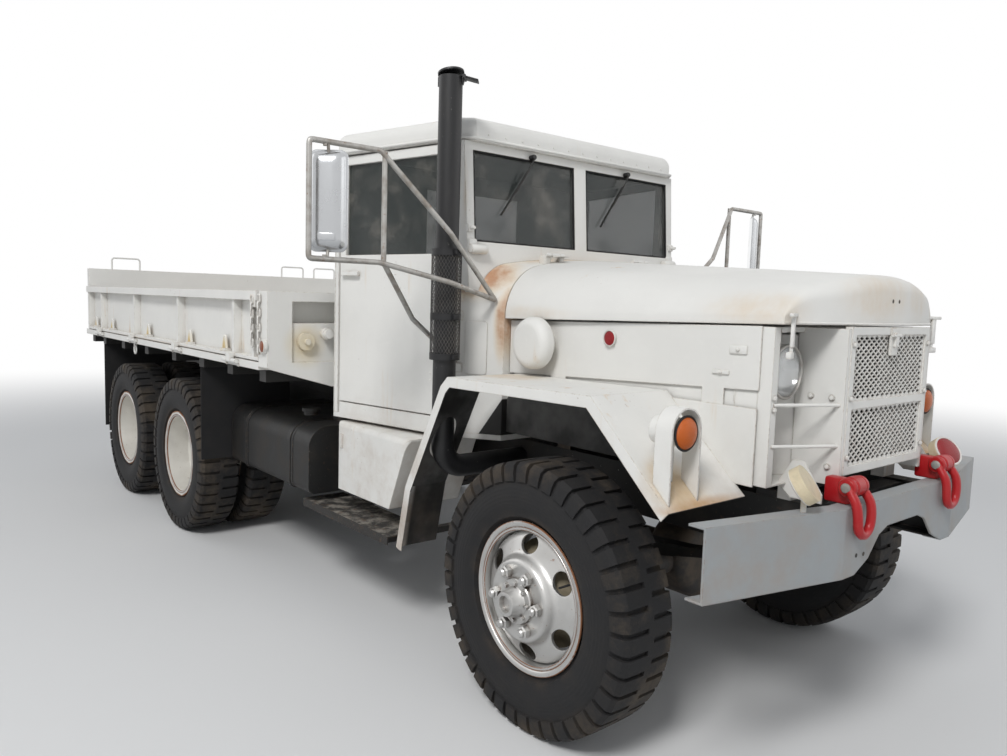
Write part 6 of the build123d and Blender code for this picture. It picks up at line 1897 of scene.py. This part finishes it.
class TRUCK_OT_bed(Operator):
    """The bolts of the side hinges, the rings under the sill, the tank's straps and its filler cap"""

    bl_idname = "truck.bed"
    bl_label = "Cargo bed fittings"

    # The ribs' places, as shares of the bed's length from its front, and the rib that a ring hangs by
    RIB_SHARES = (0.12, 0.3645, 0.621, 0.867)
    RING_RIB = 2
    # The hinge bolts' distance from the rib, from the middle and from the ground
    BOLT = (0.084, 1.219, 1.203)

    def execute(self, context):
        low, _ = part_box("bed_floor")
        places = []
        rings = []
        for _, side in SIDES:
            for index, share in enumerate(self.RIB_SHARES):
                x = BED_FRONT + share * (low.x - BED_FRONT)
                shift, reach, z = self.BOLT
                for way in (-1, 1):
                    places.append(aimed((x + way * shift, side * reach, z), (0, side, 0)))
                if index == self.RING_RIB:
                    rings += self.ring(x, side * 1.205)
        finished(repeated(hex_head(0.009), places, "side_hinge_bolts"), bed_paint, "bed_floor")
        finished(joined(rings, "sill_rings"), bed_paint, "bed_floor")
        self.tank_straps()
        return {"FINISHED"}

    def ring(self, x, y):
        """A lashing ring that hangs under the sill, with its staple."""
        angles = [math.tau * step / 10 for step in range(10)]
        circle = [(x + 0.028 * math.cos(angle), y, 1.152 + 0.034 * math.sin(angle)) for angle in angles]
        staple = slab("staple", (x - 0.012, y - 0.009, 1.180), (x + 0.012, y + 0.009, 1.197))
        return [tube("ring", circle, 0.006, closed=True, flowing=True), staple]

    def tank_straps(self):
        """Two steel straps round the fuel tank, cut from a swollen copy of it, and the filler cap."""
        low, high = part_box("fuel_tank")
        centre = middle("fuel_tank")
        swell = Matrix.Diagonal((1.0, 1.012, 1.018, 1.0))
        swell = Matrix.Translation(centre) @ swell @ Matrix.Translation(-centre)
        parts = []
        for x in (low.x + 0.235, high.x - 0.235):
            strap = merged_copy("fuel_tank", "strap")
            placed(strap, swell)
            corners = (x - 0.021, low.y - 0.1, low.z - 0.1), (x + 0.021, centre.y + 0.20, high.z + 0.1)
            keep = slab("keep", *corners, 0.0005)
            applied(strap, "BOOLEAN", operation="INTERSECT", object=keep, solver="EXACT")
            bpy.data.objects.remove(keep)
            parts.append(strap)
        cap = [(0.0, -0.004), (0.040, -0.004), (0.040, 0.014), (0.050, 0.016), (0.050, 0.032), (0.046, 0.037)]
        place = (centre.x + 0.30, low.y + 0.13, high.z)
        parts.append(turned("cap", [*cap, (0.0, 0.039)], place, (0, 0, 1), 28))
        piece = joined(parts, "tank_straps")
        smooth(piece, 35)
        finished(piece, black_paint, "fuel_tank")


class TRUCK_OT_wheel_nuts(Operator):
    """Stud nuts and flange bolts on each wheel"""

    bl_idname = "truck.wheel_nuts"
    bl_label = "Wheel nuts"

    # columns: wheel, bolting face, hub face
    ROWS = (("front_wheel", 1.007, 1.023), ("middle_wheels", 0.906, 0.984), ("rear_wheels", 0.906, 0.984))
    # columns: count, share of a step that the first one is turned by, radius of the circle
    STUDS = (6, 0.5, 0.111)
    FLANGE = (8, 0.0, 0.068)

    def execute(self, context):
        for name, side in SIDES:
            for wheel, face, end in self.ROWS:
                self.fit(f"{wheel}_{name}", side, face, end)
        return {"FINISHED"}

    def fit(self, node, side, face, end):
        x = AXLE.x if "front" in node else middle(node).x
        nuts = repeated(self.stud_nut(), self.circle(x, side, face, *self.STUDS), "nuts")
        bolts = repeated(hex_head(0.0085), self.circle(x, side, end, *self.FLANGE), "studs")
        piece = joined([nuts, bolts], node + "_nuts")
        smooth(piece, 35)
        set_radius(piece, [Vector((x, 0, AXLE.z))])
        finished(piece, wheel_paint if "front" in node else dish_paint, node)

    def circle(self, x, side, face, count, first, radius):
        """Places round a wheel's axis, each facing outwards."""
        places = []
        for index in range(count):
            angle = math.tau * (index + first) / count
            place = (x + radius * math.sin(angle), side * face, AXLE.z + radius * math.cos(angle))
            places.append(aimed(place, (0, side, 0)))
        return places

    def stud_nut(self):
        """A large nut with a domed end, about the Z axis."""
        nut = hexagon(0.0235, 0.022, 0.011, 0.005, 0.004)
        dome = [(0.0155, 0.020), (0.0155, 0.034), (0.011, 0.040), (0.0, 0.041)]
        return joined([nut, turned("end", dome, *NOWHERE, 14)], "stud_nut")


class TRUCK_OT_stage(Operator):
    """The pale floor, the soft lamps and the camera at the photograph's place"""

    bl_idname = "truck.stage"
    bl_label = "Stage"

    # The camera: heading, pitch and roll in degrees, place from the front axle's middle, focal length
    HEADING = (140.03, -5.61, 1.77)
    EYE = (2.094, -2.862, 1.593)
    FOCAL_LENGTH = 28.36
    # Where the lamps aim
    AIM = Vector((0.5, 0, 1.0))
    # Distances from the row's origin at which the floor starts to fade and is white
    FADE = (5.0, 13.0)

    def execute(self, context):
        self.floor()
        self.lamps()
        self.camera(context)
        self.world(context)
        context.scene.view_settings.view_transform = "Standard"
        return {"FINISHED"}

    def rays(self, shade, *kinds):
        """1 for rays of any of the kinds."""
        first, *others = [shade.node("ShaderNodeLightPath", {}, output=kind) for kind in kinds]
        for other in others:
            first = first | other
        return first

    def floor(self):
        deselect()
        bpy.ops.mesh.primitive_circle_add(vertices=64, radius=60.0, fill_type="NGON", location=(0, 0, 0))
        floor = bpy.context.object
        floor.name = "floor"
        shade = Shade("pale_floor")
        shade.set(Base_Color=(0.80, 0.80, 0.795), Roughness=0.9, Specular_IOR_Level=0.1)
        away = shade.vector("LENGTH", shade.place, output="Value")
        seen = self.rays(shade, "Is Camera Ray", "Is Glossy Ray")
        white = shade.node("ShaderNodeEmission", {}, (1.0, 1.0, 1.0, 1.0), 1.0)
        lit = Value(shade, shade.shader.outputs[0])
        mixed = shade.node("ShaderNodeMixShader", {}, away.rise(*self.FADE) * seen, lit, white)
        shade.feed(shade.output.inputs["Surface"], mixed)
        coat(floor, shade.material)

    def lamps(self):
        # columns: name, place, size, power
        lamps = (
            ("key", (6.5, -9.0, 10.5), 3.5, 1080.0),
            ("fill", (9.0, 7.0, 6.0), 8.0, 170.0),
            ("back", (-10.0, -6.0, 7.0), 8.0, 150.0),
        )
        for name, place, size, power in lamps:
            data = bpy.data.lights.new(name, "AREA")
            data.size = size
            data.energy = power
            lamp = linked(bpy.data.objects.new(name, data))
            lamp.location = place
            aim = self.AIM - Vector(place)
            lamp.rotation_euler = aim.to_track_quat("-Z", "Y").to_euler()

    def camera(self, context):
        """The camera that saw the truck from its right front corner, at a person's height."""
        data = bpy.data.cameras.new("camera")
        data.sensor_width = 36.0
        data.lens = self.FOCAL_LENGTH
        data.clip_end = 300.0
        camera = linked(bpy.data.objects.new("camera", data))
        heading, pitch, roll = (math.radians(angle) for angle in self.HEADING)
        turn = (
            Matrix.Rotation(heading - math.pi / 2, 4, "Z")
            @ Matrix.Rotation(math.pi / 2 + pitch, 4, "X")
            @ Matrix.Rotation(roll, 4, "Z")
        )
        camera.matrix_world = Matrix.Translation(at(*self.EYE)) @ turn
        context.scene.camera = camera

    def world(self, context):
        """Soft grey light all round, and plain white where the camera or a reflection sees it."""
        world = bpy.data.worlds.new("studio")
        world.use_nodes = True
        shade = Shade.of_tree(world.node_tree, "ShaderNodeOutputWorld")
        seen = self.rays(shade, "Is Camera Ray", "Is Glossy Ray", "Is Transmission Ray")
        soft = shade.node("ShaderNodeBackground", {}, (0.90, 0.94, 1.0, 1.0), 0.34)
        white = shade.node("ShaderNodeBackground", {}, (1.0, 1.0, 1.0, 1.0), 1.0)
        shade.feed(shade.output.inputs["Surface"], shade.node("ShaderNodeMixShader", {}, seen, soft, white))
        context.scene.world = world


class TRUCK_PT_panel(Panel):
    """Shows the truck's sizes and colours, and a button for each operator"""

    bl_idname = "TRUCK_PT_panel"
    bl_label = "Military cargo truck"
    bl_space_type = "VIEW_3D"
    bl_region_type = "UI"
    bl_category = "Truck"

    def draw(self, context):
        layout = self.layout
        for group in (context.scene.truck_sizes, context.scene.truck_colours):
            for name in group.bl_rna.properties.keys():
                if name not in ("rna_type", "name"):
                    layout.prop(group, name)
        for operator in OPERATORS:
            layout.operator(operator.bl_idname)


OPERATORS = (
    TRUCK_OT_panels,
    TRUCK_OT_hood,
    TRUCK_OT_nose,
    TRUCK_OT_lamps,
    TRUCK_OT_stack,
    TRUCK_OT_cab,
    TRUCK_OT_mirrors,
    TRUCK_OT_shackles,
    TRUCK_OT_seats,
    TRUCK_OT_bed,
    TRUCK_OT_tyres,
    TRUCK_OT_wheels,
    TRUCK_OT_wheel_nuts,
    TRUCK_OT_stage,
)
CLASSES = (TruckSizes, TruckColours, *OPERATORS, TRUCK_PT_panel)


def register():
    for kind in CLASSES:
        bpy.utils.register_class(kind)
    bpy.types.Scene.truck_sizes = PointerProperty(type=TruckSizes)
    bpy.types.Scene.truck_colours = PointerProperty(type=TruckColours)


def unregister():
    del bpy.types.Scene.truck_colours
    del bpy.types.Scene.truck_sizes
    for kind in reversed(CLASSES):
        bpy.utils.unregister_class(kind)


def main():
    register()
    for operator in OPERATORS:
        group, name = operator.bl_idname.split(".")
        getattr(getattr(bpy.ops, group), name)()
    bpy.context.view_layer.update()


if __name__ == "__main__":
    main()
